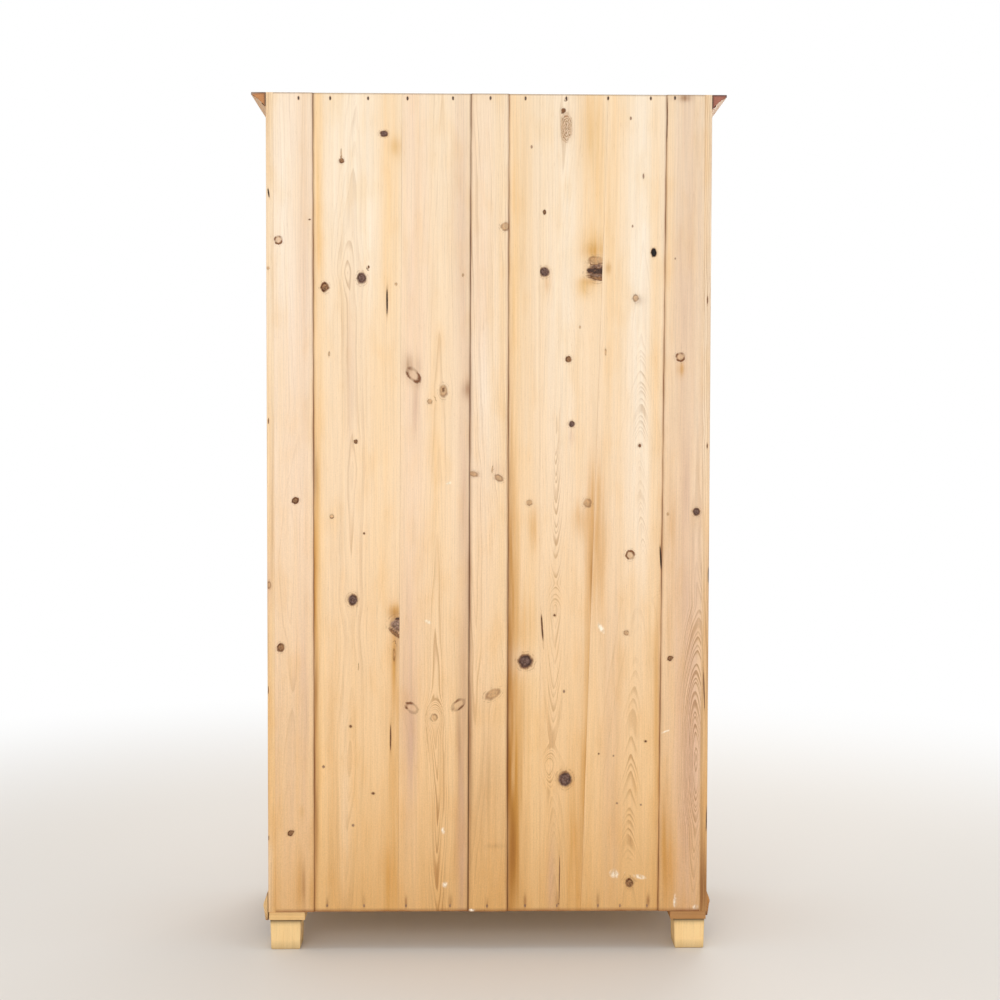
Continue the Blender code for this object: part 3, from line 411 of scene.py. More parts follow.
STILE_LOW, STILE_HIGH = corners_of("back_stile_right")
LEAN_LOW, LEAN_HIGH = corners_of("back_stile_left")
MUNTIN_LOW, MUNTIN_HIGH = corners_of("back_muntin")
PANEL_LOW, PANEL_HIGH = corners_of("back_panel_right")
Y_BACK = STILE_HIGH[1]
FOOT_Z, HEAD_Z = STILE_LOW[2], STILE_HIGH[2]


def climb_of(z):
    """Share of the height of the back, 0 at its foot and 1 at its head."""
    return (z - FOOT_Z) / (HEAD_Z - FOOT_Z)


def on_back(px, py):
    """The x and z at which the line of sight through a picture point meets the plane of the back."""
    across = (np.asarray(px, float) - PICTURE / 2) / FOCAL
    down = (np.asarray(py, float) - PICTURE / 2) / FOCAL
    sight = FORWARD + across[..., None] * RIGHT - down[..., None] * UP
    spot = EYE + (Y_BACK - EYE[1]) / sight[..., 1:2] * sight
    return spot[..., 0], spot[..., 2]


def joint(px_head, px_foot):
    """A glue line: its x at the foot and at the head of the back."""
    return on_back(np.array([px_foot, px_head]), np.array([FOOT_ROW, HEAD_ROW]))[0]


left_joint = joint(px_head=402, px_foot=398)
middle_joint = joint(px_head=540, px_foot=540)
taper_joint = joint(px_head=608.5, px_foot=580.7)
stile_edge = STILE_LOW[0] + np.array([STILE_TRIM, STILE_TRIM])
muntin_edge = MUNTIN_HIGH[0] + MUNTIN_FLARE
lean_edge = LEAN_HIGH[0] - np.array([LEAN_FOOT, LEAN_HEAD])
print("glue lines", np.round([left_joint, middle_joint, taper_joint], 4).tolist())

# %% [markdown]
# ## Growth rings
# A flat-sawn board cuts a log's rings at a slant. Where the heart of the log lies at some depth behind the
# face, the distance to the heart, counted in rings, gives both the straight lines at the edges and the
# arches in the middle. Round a knot the lines part, because across it the wood is stretched. Worked out at
# every point of a plank, this smooth count lets the shader draw sharp lines.

# %% The heart of each plank
Heart = namedtuple("Heart", "py px depth bold", defaults=(1,))  # pixels, depth in millimetres, strength
Figure = namedtuple("Figure", "plain peak reach")  # strength of rings away from the heart and at it, pixels
Plank = namedtuple("Plank", "name node low high face edges spacing figure")  # spacing in millimetres
Wave = namedtuple("Wave", "up across phase size")  # radians to a metre, share of the phase, size
SMOOTH_ROWS = 5
POINTED = 0.8
POINT_SCALE = 0.020
KNOT_SLIM = 0.6  # how much of a knot's height counts for the parting of the grain
PART_ACROSS, PART_ALONG = 2.4, 4.5  # radii of a knot within which the grain parts
WANDER = (Wave(9, 5, 1, 0.0016), Wave(23, -17, 2.3, 0.0008), Wave(61, 31, 4.1, 0.00035))  # in metres
UNEVEN = (Wave(0, 1.3, 1, 0.35), Wave(0, 3.1, 2, 0.2))  # in rings
PLAIN, TONGUE, GROOVE = "plain", "tongue", "groove"

PLANKS = (
    Plank("back_stile_right", "back_stile_right", stile_edge, (STILE_HIGH[0],) * 2, Y_BACK,
          (GROOVE, PLAIN), 2.4, Figure(0.36, 0.3, 20)),
    Plank("back_plank_a", "back_panel_right", left_joint + JOINT_GAP, stile_edge - SEAM_GAP, PANEL_HIGH[1],
          (PLAIN, TONGUE), 2.6, Figure(0.22, 1.08, 9)),
    Plank("back_plank_b", "back_panel_right", muntin_edge + SEAM_GAP, left_joint - JOINT_GAP, PANEL_HIGH[1],
          (TONGUE, PLAIN), 2.5, Figure(0.24, 1.15, 11)),
    Plank("back_muntin", "back_muntin", (MUNTIN_LOW[0],) * 2, muntin_edge, Y_BACK,
          (GROOVE, GROOVE), 2.1, Figure(0.58, 0.5, 20)),
    Plank("back_plank_c", "back_panel_left", middle_joint + JOINT_GAP, (MUNTIN_LOW[0] - SEAM_GAP,) * 2,
          PANEL_HIGH[1], (PLAIN, TONGUE), 2.2, Figure(0.26, 0.1, 16)),
    Plank("back_plank_d", "back_panel_left", taper_joint + JOINT_GAP, middle_joint - JOINT_GAP,
          PANEL_HIGH[1], (PLAIN, PLAIN), 1.9, Figure(0.26, 0.95, 6)),
    Plank("back_plank_e", "back_panel_left", lean_edge + SEAM_GAP, taper_joint - JOINT_GAP, PANEL_HIGH[1],
          (TONGUE, PLAIN), 1.5, Figure(0.22, 1.05, 7)),
    Plank("back_stile_left", "back_stile_left", (LEAN_LOW[0],) * 2, lean_edge, Y_BACK,
          (PLAIN, GROOVE), 1.7, Figure(0.3, 1.5, 15)),
)
HEARTS = {
    "back_stile_right": (
        Heart(95, 296, 34), Heart(400, 301, 40), Heart(560, 289, 30), Heart(700, 292, 38),
        Heart(910, 284, 26),
    ),
    "back_plank_a": (
        Heart(95, 356, 47, 0.5), Heart(235, 350, 39, 0.6), Heart(247, 350, 37.3), Heart(272, 350, 33.2),
        Heart(300, 352, 36.4), Heart(420, 352, 36, 0.8), Heart(470, 352, 33, 0.6), Heart(545, 351, 35, 0.6),
        Heart(640, 354, 38, 0.6), Heart(760, 349, 31, 0.6), Heart(910, 346, 40, 0.5),
    ),
    "back_plank_b": (
        Heart(95, 442, 40, 0.4), Heart(350, 440, 34, 0.5), Heart(540, 437, 28, 0.5), Heart(688, 436, 23),
        Heart(700, 435, 21), Heart(716, 434, 7), Heart(728, 435, 12), Heart(791, 437, 15.5),
        Heart(852, 437, 19), Heart(910, 438, 25),
    ),
    "back_muntin": (
        Heart(95, 466, 34), Heart(470, 470, 26), Heart(700, 480, 32), Heart(910, 466, 40),
    ),
    "back_plank_c": (
        Heart(95, 548, 20), Heart(500, 552, 26), Heart(910, 556, 22),
    ),
    "back_plank_d": (
        Heart(95, 566, 24, 0.6), Heart(240, 562, 28, 0.6), Heart(360, 558, 10, 0.5), Heart(430, 557, 8),
        Heart(585, 556, 32), Heart(606, 555, 22), Heart(640, 554, 25), Heart(745, 553, 38),
        Heart(765, 552, 27), Heart(790, 556, 36), Heart(910, 553, 22, 0.6),
    ),
    "back_plank_e": (
        Heart(95, 640, 70, 0.3), Heart(250, 645, 66, 0.3), Heart(345, 641, 62, 0.7), Heart(375, 640, 56),
        Heart(440, 640, 42), Heart(450, 640, 40, 0.5), Heart(480, 641, 36, 0.7), Heart(540, 642, 26, 0.7),
        Heart(566, 642, 20, 0), Heart(596, 638, 90, 0), Heart(612, 638, 88, 0.5), Heart(665, 635, 84, 0.7),
        Heart(735, 631, 78), Heart(800, 630, 71), Heart(852, 629, 62), Heart(866, 629, 59, 0.4),
        Heart(910, 629, 54, 0.5),
    ),
    "back_stile_left": (
        Heart(95, 690, 60, 0.2), Heart(250, 696, 54, 0.25), Heart(335, 698, 48, 0.3),
        Heart(430, 697, 44, 0.3), Heart(560, 697, 42, 0.4), Heart(606, 700, 40, 0.9), Heart(650, 697, 31),
        Heart(700, 695, 20), Heart(757, 695, 9), Heart(790, 695, 13), Heart(826, 696, 21),
        Heart(860, 694, 25, 0.5), Heart(910, 693, 30, 0.5),
    ),
}


def heart_line(hearts, z):
    """The heart's x, depth and strength at each height: straight between marks, then a sliding mean."""
    rows, columns, depth, bold = np.array(hearts, float).T
    x, height = on_back(columns, rows)
    order = np.argsort(height)
    window = np.hanning(2 * SMOOTH_ROWS + 1)
    window /= window.sum()
    lines = [np.interp(z, height[order], line[order]) for line in (x, depth / 1000, bold)]
    return [np.convolve(np.pad(line, SMOOTH_ROWS, mode="edge"), window, "valid") for line in lines]


def waves(table, x, z, phase=0):
    """The sum of some sines of height and width: size times sin(up z + across x + phase)."""
    return sum(wave.size * np.sin(wave.up * z + wave.across * x + wave.phase * phase) for wave in table)


def parted(x, z, knots):
    """The grain's own x: near a knot it moves towards the knot by a bell of the distance, so lines part."""
    eased = np.array(x, float)
    for knot in knots:
        kx, kz = on_back(knot.px, knot.py)
        reach = max(knot.wide, knot.tall * KNOT_SLIM) * PIXEL / 2
        bell = np.exp(-((x - kx) / (PART_ACROSS * reach)) ** 2 - ((z - kz) / (PART_ALONG * reach)) ** 2)
        eased -= LOOKS[knot.look].push * (x - kx) * bell
    return eased


def ring_count(plank, phase, x, z, knots):
    """Distance from the heart to a point of the face, the depth being one leg of it, in rings. The other
    leg is the distance across to the power POINTED, which makes the arches pointed."""
    heart_x, depth, bold = (line[:, None] for line in heart_line(HEARTS[plank.name], z[:, 0]))
    across = parted(x, z, knots) - heart_x + waves(WANDER, x, z, phase)
    leg = POINT_SCALE * (np.abs(across) / POINT_SCALE) ** POINTED
    count = np.hypot(leg, depth) / (plank.spacing / 1000)
    plain, peak, reach = plank.figure
    strength = plain + (peak * bold - plain) * np.exp(-(across / (reach * PIXEL)) ** 2)
    return count + waves(UNEVEN, count, 0, phase), strength


print("planks", len(PLANKS))

# %% [markdown]
# ## Knots and cracks
# Every knot in the picture is listed with its place, its size in picture points and its look. A texture of
# random spots would be quicker, but these knots are what tells this wardrobe from another. Each point of a
# plank keeps its place in the nearest knot, counted in the knot's own radii, and the shader draws rim, core
# and cracks.

# %% Knots by plank
Look = namedtuple("Look", "core rim push dent")  # darkness of core and rim, parting of grain, millimetres
LOOKS = {
    "grey": Look(0.82, 0.75, 0.75, -0.15),
    "dark": Look(0.44, 1.0, 0.7, 0.1),
    "half": Look(0.52, 0.6, 0.75, -0.15),
    "eye": Look(0.16, 0.95, 0.7, -0.1),
    "ring": Look(0.28, 1.0, 0.7, -0.1),
    "faint": Look(0.32, 0.5, 0.6, 0.0),
    "pith": Look(0.22, 0.4, 0.7, 0.0),
    "char": Look(0.88, 0.8, 0.75, -0.15),
    "speck": Look(0.64, 0.2, 0.4, 0.1),
    "dot": Look(0.5, 0.1, 0.2, 0.0),
    "hole": Look(1.0, 1.0, 0.5, 2.2),
    "crack": Look(0.93, 0.2, 0.0, 1.0),
    "split": Look(0.7, 0.2, 0.0, 0.6),
    "nail": Look(0.88, 0.5, 0.0, 0.9),
    "scuff": Look(0.0, 0.0, 0.0, 0.2),
    "torn": Look(0.38, 0.0, 0.3, 0.2),
}
Knot = namedtuple("Knot", "px py wide tall look lean", defaults=(0,))  # lean in degrees
KNOTS = {
    "back_stile_right": (
        Knot(278.4, 240, 8, 8, "ring"), Knot(309.7, 219.5, 2.4, 1.6, "speck"),
        Knot(295.4, 500.5, 7, 6, "dark", 30), Knot(280.8, 647.7, 7, 9, "dark", -20),
        Knot(290.8, 833, 7, 5, "dark", 35),
    ),
    "back_plank_a": (
        Knot(384, 133.4, 8, 6, "grey"), Knot(341.4, 160.4, 5, 5, "dark"), Knot(341, 153, 1.2, 9, "faint"),
        Knot(361.7, 278, 9, 11, "grey"), Knot(324.7, 287, 8, 9, "dark"), Knot(368.6, 266.8, 2, 3, "speck"),
        Knot(396, 284, 2.5, 3, "faint"), Knot(329, 354, 1.8, 5, "faint"), Knot(355.7, 441.6, 4, 4, "dark"),
        Knot(331.6, 516.5, 4, 4, "ring"), Knot(364, 533.5, 2.2, 2.6, "speck"),
        Knot(352.7, 600, 9.5, 11, "grey"), Knot(400.5, 624.5, 20, 15, "half"),
        Knot(399, 619, 8, 2.2, "crack"), Knot(394.5, 633.5, 14, 3.6, "dark", -40),
        Knot(350.5, 726.6, 3, 3, "speck"), Knot(323.5, 767, 2.8, 3.2, "dot"),
        Knot(373, 793.7, 3.4, 2.6, "speck"), Knot(353, 825.6, 2.8, 2.8, "dot"),
        Knot(358.4, 667, 1, 7, "faint"), Knot(387, 301.5, 1.9, 28, "crack"),
        Knot(390.5, 738, 1.5, 27, "split"), Knot(394, 655, 2.4, 12, "faint"),
    ),
    "back_plank_b": (
        Knot(413.4, 374.8, 10, 17, "eye", 42), Knot(443.5, 391, 8, 12, "faint"),
        Knot(443.2, 390.4, 3.4, 4, "dark"), Knot(429.8, 401.5, 5, 5, "faint"),
        Knot(463, 275, 2, 3, "faint"), Knot(411.7, 708, 9, 14, "eye", 50),
        Knot(458.2, 705, 9, 15, "eye", -52), Knot(434, 718, 7, 8, "pith"), Knot(393.5, 372, 2, 3, "faint"),
        Knot(443, 831, 4, 7, "scuff"), Knot(445, 885, 6, 7, "scuff"), Knot(428, 622, 7, 4, "scuff", -20),
        Knot(449, 483, 6, 3, "scuff", 20),
    ),
    "back_muntin": (
        Knot(505.5, 226.5, 9, 8, "faint", 20), Knot(473.7, 474, 9, 5, "faint", -15),
        Knot(499, 478, 9, 6, "faint", -35), Knot(493, 694, 16, 9, "faint", 32),
        Knot(492.2, 469, 1.2, 6, "faint", -10), Knot(472, 910, 7, 3, "scuff"),
    ),
    "back_plank_c": (
        Knot(531.7, 146.6, 2.0, 3.4, "dot"), Knot(529.4, 502.7, 6, 6, "faint"),
        Knot(525.5, 661.5, 14, 13.5, "grey"),
    ),
    "back_plank_d": (
        Knot(563.5, 110.5, 4.4, 5.4, "speck"), Knot(566.5, 127.5, 13, 32, "torn"),
        Knot(544.6, 212, 3, 4.5, "dark"), Knot(544.6, 271.8, 9.5, 9.5, "grey"),
        Knot(597.4, 271.4, 19, 16, "half"), Knot(599, 278.4, 23, 3.6, "dark", -10),
        Knot(600.8, 270.9, 11, 6.6, "char"), Knot(595, 270.6, 10, 6.2, "char"),
        Knot(590.4, 270.2, 7, 5, "char"), Knot(594.6, 271, 3, 1.5, "half"),
        Knot(568.7, 359.3, 6, 6.5, "dark"), Knot(571.8, 424, 6, 6, "grey"), Knot(587.6, 503, 8, 9, "faint"),
        Knot(554.6, 615.5, 2.6, 2.6, "speck"), Knot(565.2, 779.4, 13, 15, "grey"),
        Knot(564, 691.6, 2.6, 3, "dot"), Knot(580, 327, 1.6, 3, "faint"),
        Knot(542.2, 628, 1.8, 28, "split", 4), Knot(559.4, 880, 0.9, 52, "split", -0.5),
        Knot(598, 693.8, 1.6, 2.6, "faint"), Knot(596, 260, 14, 8, "faint"),
    ),
    "back_plank_e": (
        Knot(631, 118, 2.2, 3.4, "dot"), Knot(643.6, 176, 1.8, 5.5, "dot"),
        Knot(632.7, 226, 1.8, 2.6, "dot"), Knot(654, 252.5, 5.5, 9, "hole"),
        Knot(635.8, 298, 6, 7, "faint"), Knot(605.7, 352, 1.8, 7, "faint"),
        Knot(639.8, 445.7, 3.2, 3.6, "speck"), Knot(630.3, 555, 8.5, 9, "ring"),
        Knot(626.4, 633, 5.5, 5, "faint"), Knot(613.5, 756, 1.8, 2, "dot"),
        Knot(598.8, 754, 1.8, 2, "speck"), Knot(645.7, 741.5, 2.8, 2.4, "speck"),
        Knot(617, 803.5, 2, 2, "dot"), Knot(641, 805, 2, 2, "dot"), Knot(629.5, 883, 7.5, 9, "dark"),
        Knot(660.8, 558, 1.8, 26, "crack", 3), Knot(601, 628, 5, 12, "scuff", 30),
        Knot(614, 874, 9, 10, "scuff", 35), Knot(640, 877, 13, 5, "scuff", -12),
    ),
    "back_stile_left": (
        Knot(680.5, 357, 9, 8.5, "ring"), Knot(675.3, 258.6, 1.6, 2, "dot"),
        Knot(696.5, 511.7, 7, 7.5, "grey"), Knot(668, 514, 2.4, 3, "faint"),
        Knot(670.3, 658.3, 6, 4.6, "dark", 25), Knot(667, 119, 1.6, 46, "split"),
        Knot(665.5, 731.6, 9, 2, "scuff", 22), Knot(675, 901, 4, 14, "scuff"),
        Knot(695.5, 907, 6, 5, "scuff", 15),
    ),
}
Nail = namedtuple("Nail", "px py")
UPPER_ROW, LOWER_ROW = 98.0, 906.0
NAIL_ROWS = {
    UPPER_ROW: (298.5, 330, 368, 407.5, 453, 490.5, 525.6, 566.4, 608.3, 651, 675),
    LOWER_ROW: (327, 364, 406, 450, 487, 525, 557, 598, 620, 647),
}
NAIL_LOOKS = {UPPER_ROW: "nail", LOWER_ROW: "dot"}  # black in the upper row, rusty in the lower
NAILS = [Nail(px, py) for py, row in NAIL_ROWS.items() for px in row]
FAR_FROM_KNOT = 4.0
OVERLAP = 0.95  # within this share of its size a knot covers those listed before it
DENT_EDGE = 1.15  # share of a knot's size where its dent ends
NAIL_WIDE, NAIL_TALL = 2.0, 3.8  # pixels
KnotField = namedtuple("KnotField", "place look dent")


def knot_field(knots, x, z):
    """Each point's place in the nearest knot's own turned axes, in half widths and half heights, with the
    length of that place; that knot's core, rim and a number of its own; and the dent of all knots together.
    A knot covers those listed before it."""
    place = np.full(x.shape + (3,), [FAR_FROM_KNOT, 0.0, FAR_FROM_KNOT])
    look_there = np.zeros(x.shape + (3,))
    dent = np.zeros(x.shape)
    for number, knot in enumerate(knots):
        kx, kz = on_back(knot.px, knot.py)
        turn = np.radians(knot.lean)
        right, up = kx - x, z - kz
        wide = (right * np.cos(turn) + up * np.sin(turn)) / (knot.wide * PIXEL / 2)
        tall = (up * np.cos(turn) - right * np.sin(turn)) / (knot.tall * PIXEL / 2)
        share = np.hypot(wide, tall)
        look = LOOKS[knot.look]
        nearer = (share < place[..., 2]) | (share < OVERLAP)
        place[nearer] = np.stack([wide, tall, share], -1)[nearer]
        look_there[nearer] = look.core, look.rim, number
        dent += look.dent / 1000 * np.clip(DENT_EDGE - share, 0, 1)
    return KnotField(place, look_there, dent)


print("knots", sum(len(knots) for knots in KNOTS.values()))

# %% [markdown]
# ## Tone of the raw wood
# Stripped pine isn't one colour. It is cream at the head and tan at the foot, partly where damp and hands
# reached it and partly painted light, brighter at the head where more light falls. It is pinkish on the
# stiles, and orange where resin ran from a knot or dirt sat in a groove; along the grooves the brown is also
# painted shade. The tones are laid on in soft strokes, like thin washes, each with a pigment, a place and a
# strength.

# %% Washes
# Partly the wood's ageing and partly painted light: the head is lit more strongly than the foot.
AGEING_AND_LIGHT_FALL = (  # share of the height and the tone there
    (0.0, linear(223, 176, 115)),
    (0.17, linear(240, 200, 149)),
    (0.5, linear(248, 219, 184)),
    (1.0, linear(247, 225, 196)),
)
PIGMENTS = {
    "pink": linear(240, 205, 178),
    "honey": linear(247, 206, 148),
    "orange": linear(209, 150, 66),
    "amber": linear(179, 121, 46),
    "brown": linear(150, 100, 56),
    "pale": linear(255, 244, 228),
    "tan": linear(230, 188, 128),
    "mauve": linear(204, 164, 140),
    # Rusty brown round the lower nails, and along the seams and the foot, where it is partly dirt and partly
    # painted shade.
    "rust_and_shade": linear(138, 82, 40),
    "grey": linear(126, 104, 86),
    # Near black: painted shadow of a seam's gap, with some dirt.
    "seam_shadow_and_dirt": linear(62, 40, 27),
}
Wash = namedtuple("Wash", "pigment px py wide tall strength")
# Narrow rusty and amber washes along the seams near 314, 470, 508 and 664 are partly dirt and partly painted
# shade of the grooves.
WASHES = {
    "back_stile_right": (
        Wash("pink", 296, 420, 44, 900, 0.35), Wash("mauve", 304, 250, 8, 260, 0.25),
        Wash("pale", 285, 200, 18, 180, 0.4), Wash("orange", 300, 884, 9, 52, 0.6),
        Wash("orange", 302, 812, 4, 10, 0.5), Wash("mauve", 305, 700, 8, 260, 0.25),
        Wash("brown", 269, 193, 5, 9, 0.5), Wash("orange", 312, 890, 5, 40, 0.4),
        Wash("brown", 303, 884, 5, 36, 0.45), Wash("pale", 290, 280, 60, 560, 0.17),
        Wash("brown", 290, 760, 50, 150, 0.1),
    ),
    "back_plank_a": (
        Wash("honey", 317, 300, 10, 1200, 0.75), Wash("orange", 315, 690, 7, 420, 0.6),
        Wash("brown", 315, 475, 4, 40, 0.4), Wash("brown", 315, 690, 4, 60, 0.5),
        Wash("brown", 315, 800, 4, 120, 0.45), Wash("honey", 389, 190, 20, 260, 0.55),
        Wash("tan", 395, 146, 10, 16, 0.8), Wash("pale", 352, 175, 40, 150, 0.4),
        Wash("pale", 370, 240, 14, 120, 0.35), Wash("mauve", 350, 372, 7, 110, 0.3),
        Wash("orange", 394, 611, 9, 12, 0.8), Wash("brown", 394, 614, 8, 8, 0.5),
        Wash("orange", 394, 660, 8, 70, 0.6), Wash("brown", 397, 650, 4, 30, 0.5),
        Wash("orange", 394, 745, 9, 180, 0.5), Wash("orange", 392, 870, 14, 90, 0.5),
        Wash("honey", 380, 480, 20, 260, 0.35), Wash("pale", 345, 790, 8, 160, 0.15),
        Wash("rust_and_shade", 364, 901, 3, 11, 0.5), Wash("orange", 332, 800, 6, 220, 0.25),
        Wash("rust_and_shade", 327, 903, 2, 8, 0.5), Wash("rust_and_shade", 314.5, 720, 3, 120, 0.15),
        Wash("rust_and_shade", 315, 835, 4.5, 110, 0.35),
    ),
    "back_plank_b": (
        Wash("pink", 414, 300, 22, 700, 0.4), Wash("mauve", 415.5, 405, 5, 50, 0.6),
        Wash("brown", 411, 366, 14, 20, 0.4), Wash("brown", 466, 390, 8, 15, 0.65),
        Wash("mauve", 465, 520, 9, 320, 0.5), Wash("mauve", 408, 700, 12, 190, 0.45),
        Wash("mauve", 412, 745, 8, 80, 0.55), Wash("rust_and_shade", 459.5, 742, 4, 50, 0.3),
        Wash("honey", 437, 470, 16, 260, 0.3), Wash("mauve", 461, 220, 14, 260, 0.3),
        Wash("brown", 462, 770, 11, 330, 0.22), Wash("mauve", 462, 830, 9, 180, 0.5),
        Wash("rust_and_shade", 406, 902, 2, 9, 0.6), Wash("rust_and_shade", 450.5, 901, 2.5, 11, 0.6),
        Wash("brown", 416, 382, 8, 10, 0.3),
    ),
    "back_muntin": (
        Wash("pink", 480, 300, 20, 500, 0.3), Wash("brown", 474, 474, 9, 6, 0.4),
        Wash("orange", 490, 860, 44, 160, 0.2), Wash("brown", 494, 846, 12, 4, 0.35),
        Wash("pale", 485, 400, 24, 120, 0.35), Wash("mauve", 500, 470, 12, 14, 0.35),
        Wash("rust_and_shade", 487, 903, 2, 8, 0.5), Wash("honey", 502, 420, 8, 500, 0.3),
        Wash("brown", 489, 790, 30, 120, 0.15), Wash("rust_and_shade", 507.3, 810, 2.4, 270, 0.55),
        Wash("amber", 507.5, 480, 2, 260, 0.4), Wash("rust_and_shade", 470.5, 640, 3.2, 330, 0.55),
    ),
    "back_plank_c": (
        Wash("honey", 513, 350, 12, 700, 0.6), Wash("orange", 512, 560, 9, 160, 0.55),
        Wash("orange", 513, 800, 15, 320, 1.0), Wash("amber", 510, 720, 5, 480, 0.75),
        Wash("amber", 514, 880, 10, 90, 0.4), Wash("pale", 524, 661, 26, 26, 0.35),
        Wash("orange", 534, 528, 8, 34, 0.4), Wash("orange", 528, 625, 14, 50, 0.35),
        Wash("honey", 530, 700, 20, 300, 0.4), Wash("rust_and_shade", 525, 901, 2.5, 11, 0.55),
        Wash("amber", 511, 800, 8, 260, 0.8), Wash("rust_and_shade", 508.5, 810, 3.5, 260, 0.15),
        Wash("rust_and_shade", 511, 855, 9, 90, 0.35), Wash("tan", 524, 240, 14, 400, 0.35),
        Wash("amber", 522, 800, 18, 240, 0.18),
    ),
    "back_plank_d": (
        Wash("pale", 566, 210, 18, 200, 0.45), Wash("honey", 596, 190, 20, 260, 0.6),
        Wash("tan", 595, 247, 19, 24, 0.9), Wash("orange", 589, 282, 14, 7, 0.7),
        Wash("tan", 585, 288, 16, 16, 0.7), Wash("tan", 590, 130, 20, 60, 0.5),
        Wash("orange", 600, 760, 14, 220, 0.25), Wash("orange", 595.5, 251, 15, 11, 0.6),
        Wash("brown", 596, 262, 12, 5, 0.35), Wash("amber", 588, 830, 22, 180, 0.16),
        Wash("orange", 548, 283, 5, 16, 0.5), Wash("pale", 562, 380, 24, 160, 0.3),
        Wash("orange", 581, 520, 14, 30, 0.5), Wash("orange", 593, 540, 11, 130, 0.7),
        Wash("brown", 592, 580, 4, 60, 0.45), Wash("orange", 591, 660, 12, 180, 0.4),
        Wash("orange", 586, 800, 8, 180, 0.6), Wash("brown", 588, 765, 4, 60, 0.4),
        Wash("orange", 574, 850, 14, 140, 0.45), Wash("rust_and_shade", 557, 900, 3, 14, 0.5),
        Wash("mauve", 552, 880, 8, 60, 0.4), Wash("brown", 590, 860, 24, 110, 0.08),
        Wash("mauve", 571.8, 436, 5, 16, 0.3),
    ),
    "back_plank_e": (
        Wash("amber", 608.5, 268, 5, 10, 0.5), Wash("honey", 612, 190, 22, 300, 0.45),
        Wash("pale", 641, 250, 26, 330, 0.55), Wash("pale", 640, 470, 18, 160, 0.45),
        Wash("honey", 656, 350, 9, 500, 0.4), Wash("orange", 599, 545, 12, 130, 0.6),
        Wash("orange", 657, 760, 8, 360, 0.5), Wash("rust_and_shade", 598, 900, 2.5, 12, 0.55),
        Wash("rust_and_shade", 648, 901, 3, 10, 0.6), Wash("mauve", 612, 740, 16, 260, 0.3),
        Wash("brown", 640, 300, 10, 8, 0.2),
    ),
    "back_stile_left": (
        Wash("mauve", 686, 450, 34, 1100, 0.37), Wash("honey", 669, 190, 7, 220, 0.55),
        Wash("brown", 683, 98, 14, 6, 0.6), Wash("orange", 672, 525, 8, 60, 0.4),
        Wash("orange", 671, 870, 8, 90, 0.75), Wash("mauve", 690, 750, 18, 260, 0.5),
        Wash("pale", 697, 420, 5, 260, 0.2), Wash("orange", 681, 369, 7, 12, 0.6),
        Wash("pink", 688, 720, 40, 320, 0.3), Wash("brown", 664, 820, 9, 200, 0.18),
        Wash("orange", 669, 640, 6, 80, 0.35), Wash("orange", 664, 850, 9, 120, 0.4),
    ),
}
DIRT_AND_SHADE_PIGMENTS = ("orange", "amber", "brown", "rust_and_shade")
DIRT_AND_SHADE_LEAST, CLEAN_LEAST = 0.05, 0.4  # how little of a wash the palest streaks take
WASH_BELL = 0.6  # share of a wash's size where it has faded to about a third
Streak = namedtuple("Streak", "wide tall right up")  # metres to a patch, and where the patchwork starts
FINE_STREAK = Streak(0.0042, 0.13, 0, 0)
BROAD_STREAK = Streak(0.0110, 0.21, 200, 30)
STREAK_SWAY = (Wave(11, 0, 0, 0.0012), Wave(31, 0, 0, 0.0005))  # in metres
STREAK_ROWS, STREAK_MARKS = 61, 509
STREAK_VALUES = np.random.default_rng(5).random((STREAK_ROWS, STREAK_MARKS))


def aged_and_lit_tone(z):
    """Tan at the foot, cream at the head, straight between the tones of AGEING_AND_LIGHT_FALL: partly
    ageing of the wood and partly painted light.
    """
    shares, tones = zip(*AGEING_AND_LIGHT_FALL)
    return np.stack([np.interp(climb_of(z), shares, channel) for channel in np.array(tones).T], -1)


def lay_wash(tone, weight, pigment):
    """Turns a tone towards a pigment by a weight from 0 to 1 at each point."""
    return tone + weight[..., None] * (PIGMENTS[pigment] - tone)


def patchwork(u, v):
    """Random numbers from 0 to 1 at whole u and v, eased between by 3 t squared less 2 t cubed."""
    column, row = np.floor(u).astype(int), np.floor(v).astype(int)
    right, up = u - column, v - row
    right, up = right * right * (3 - 2 * right), up * up * (3 - 2 * up)
    below, above = row % STREAK_ROWS, (row + 1) % STREAK_ROWS
    here, beside = column % STREAK_MARKS, (column + 1) % STREAK_MARKS
    low = STREAK_VALUES[below, here] * (1 - right) + STREAK_VALUES[below, beside] * right
    high = STREAK_VALUES[above, here] * (1 - right) + STREAK_VALUES[above, beside] * right
    return low + (high - low) * up


def streaky(x, z):
    """A pattern from 0 to 1 of long, narrow, swaying upright streaks: a fine and a broad patchwork."""
    sway = waves(STREAK_SWAY, x, z)
    fine, broad = FINE_STREAK, BROAD_STREAK
    finely = patchwork((x + sway) / fine.wide + fine.right, z / fine.tall + fine.up)
    broadly = patchwork((x - sway) / broad.wide + broad.right, z / broad.tall + broad.up)
    return 0.5 * (finely + broadly)


def washed(tone, washes, x, z):
    """Lays each wash as a bell of the distance from its middle, broken into streaks along the grain. The
    streaks of the dark pigments, for dirt, resin and painted shade along the seams, are stronger."""
    streak = streaky(x, z)
    for wash in washes:
        wx, wz = on_back(wash.px, wash.py)
        across, up = (x - wx) / (wash.wide * PIXEL), (z - wz) / (wash.tall * PIXEL)
        bell = np.exp(-(across / WASH_BELL) ** 2 - (up / WASH_BELL) ** 2)
        least = DIRT_AND_SHADE_LEAST if wash.pigment in DIRT_AND_SHADE_PIGMENTS else CLEAN_LEAST
        uneven = least + 2 * (1 - least) * streak
        tone = lay_wash(tone, np.clip(wash.strength * bell * uneven, 0, 1), wash.pigment)
    return tone


print("washes", sum(len(washes) for washes in WASHES.values()))

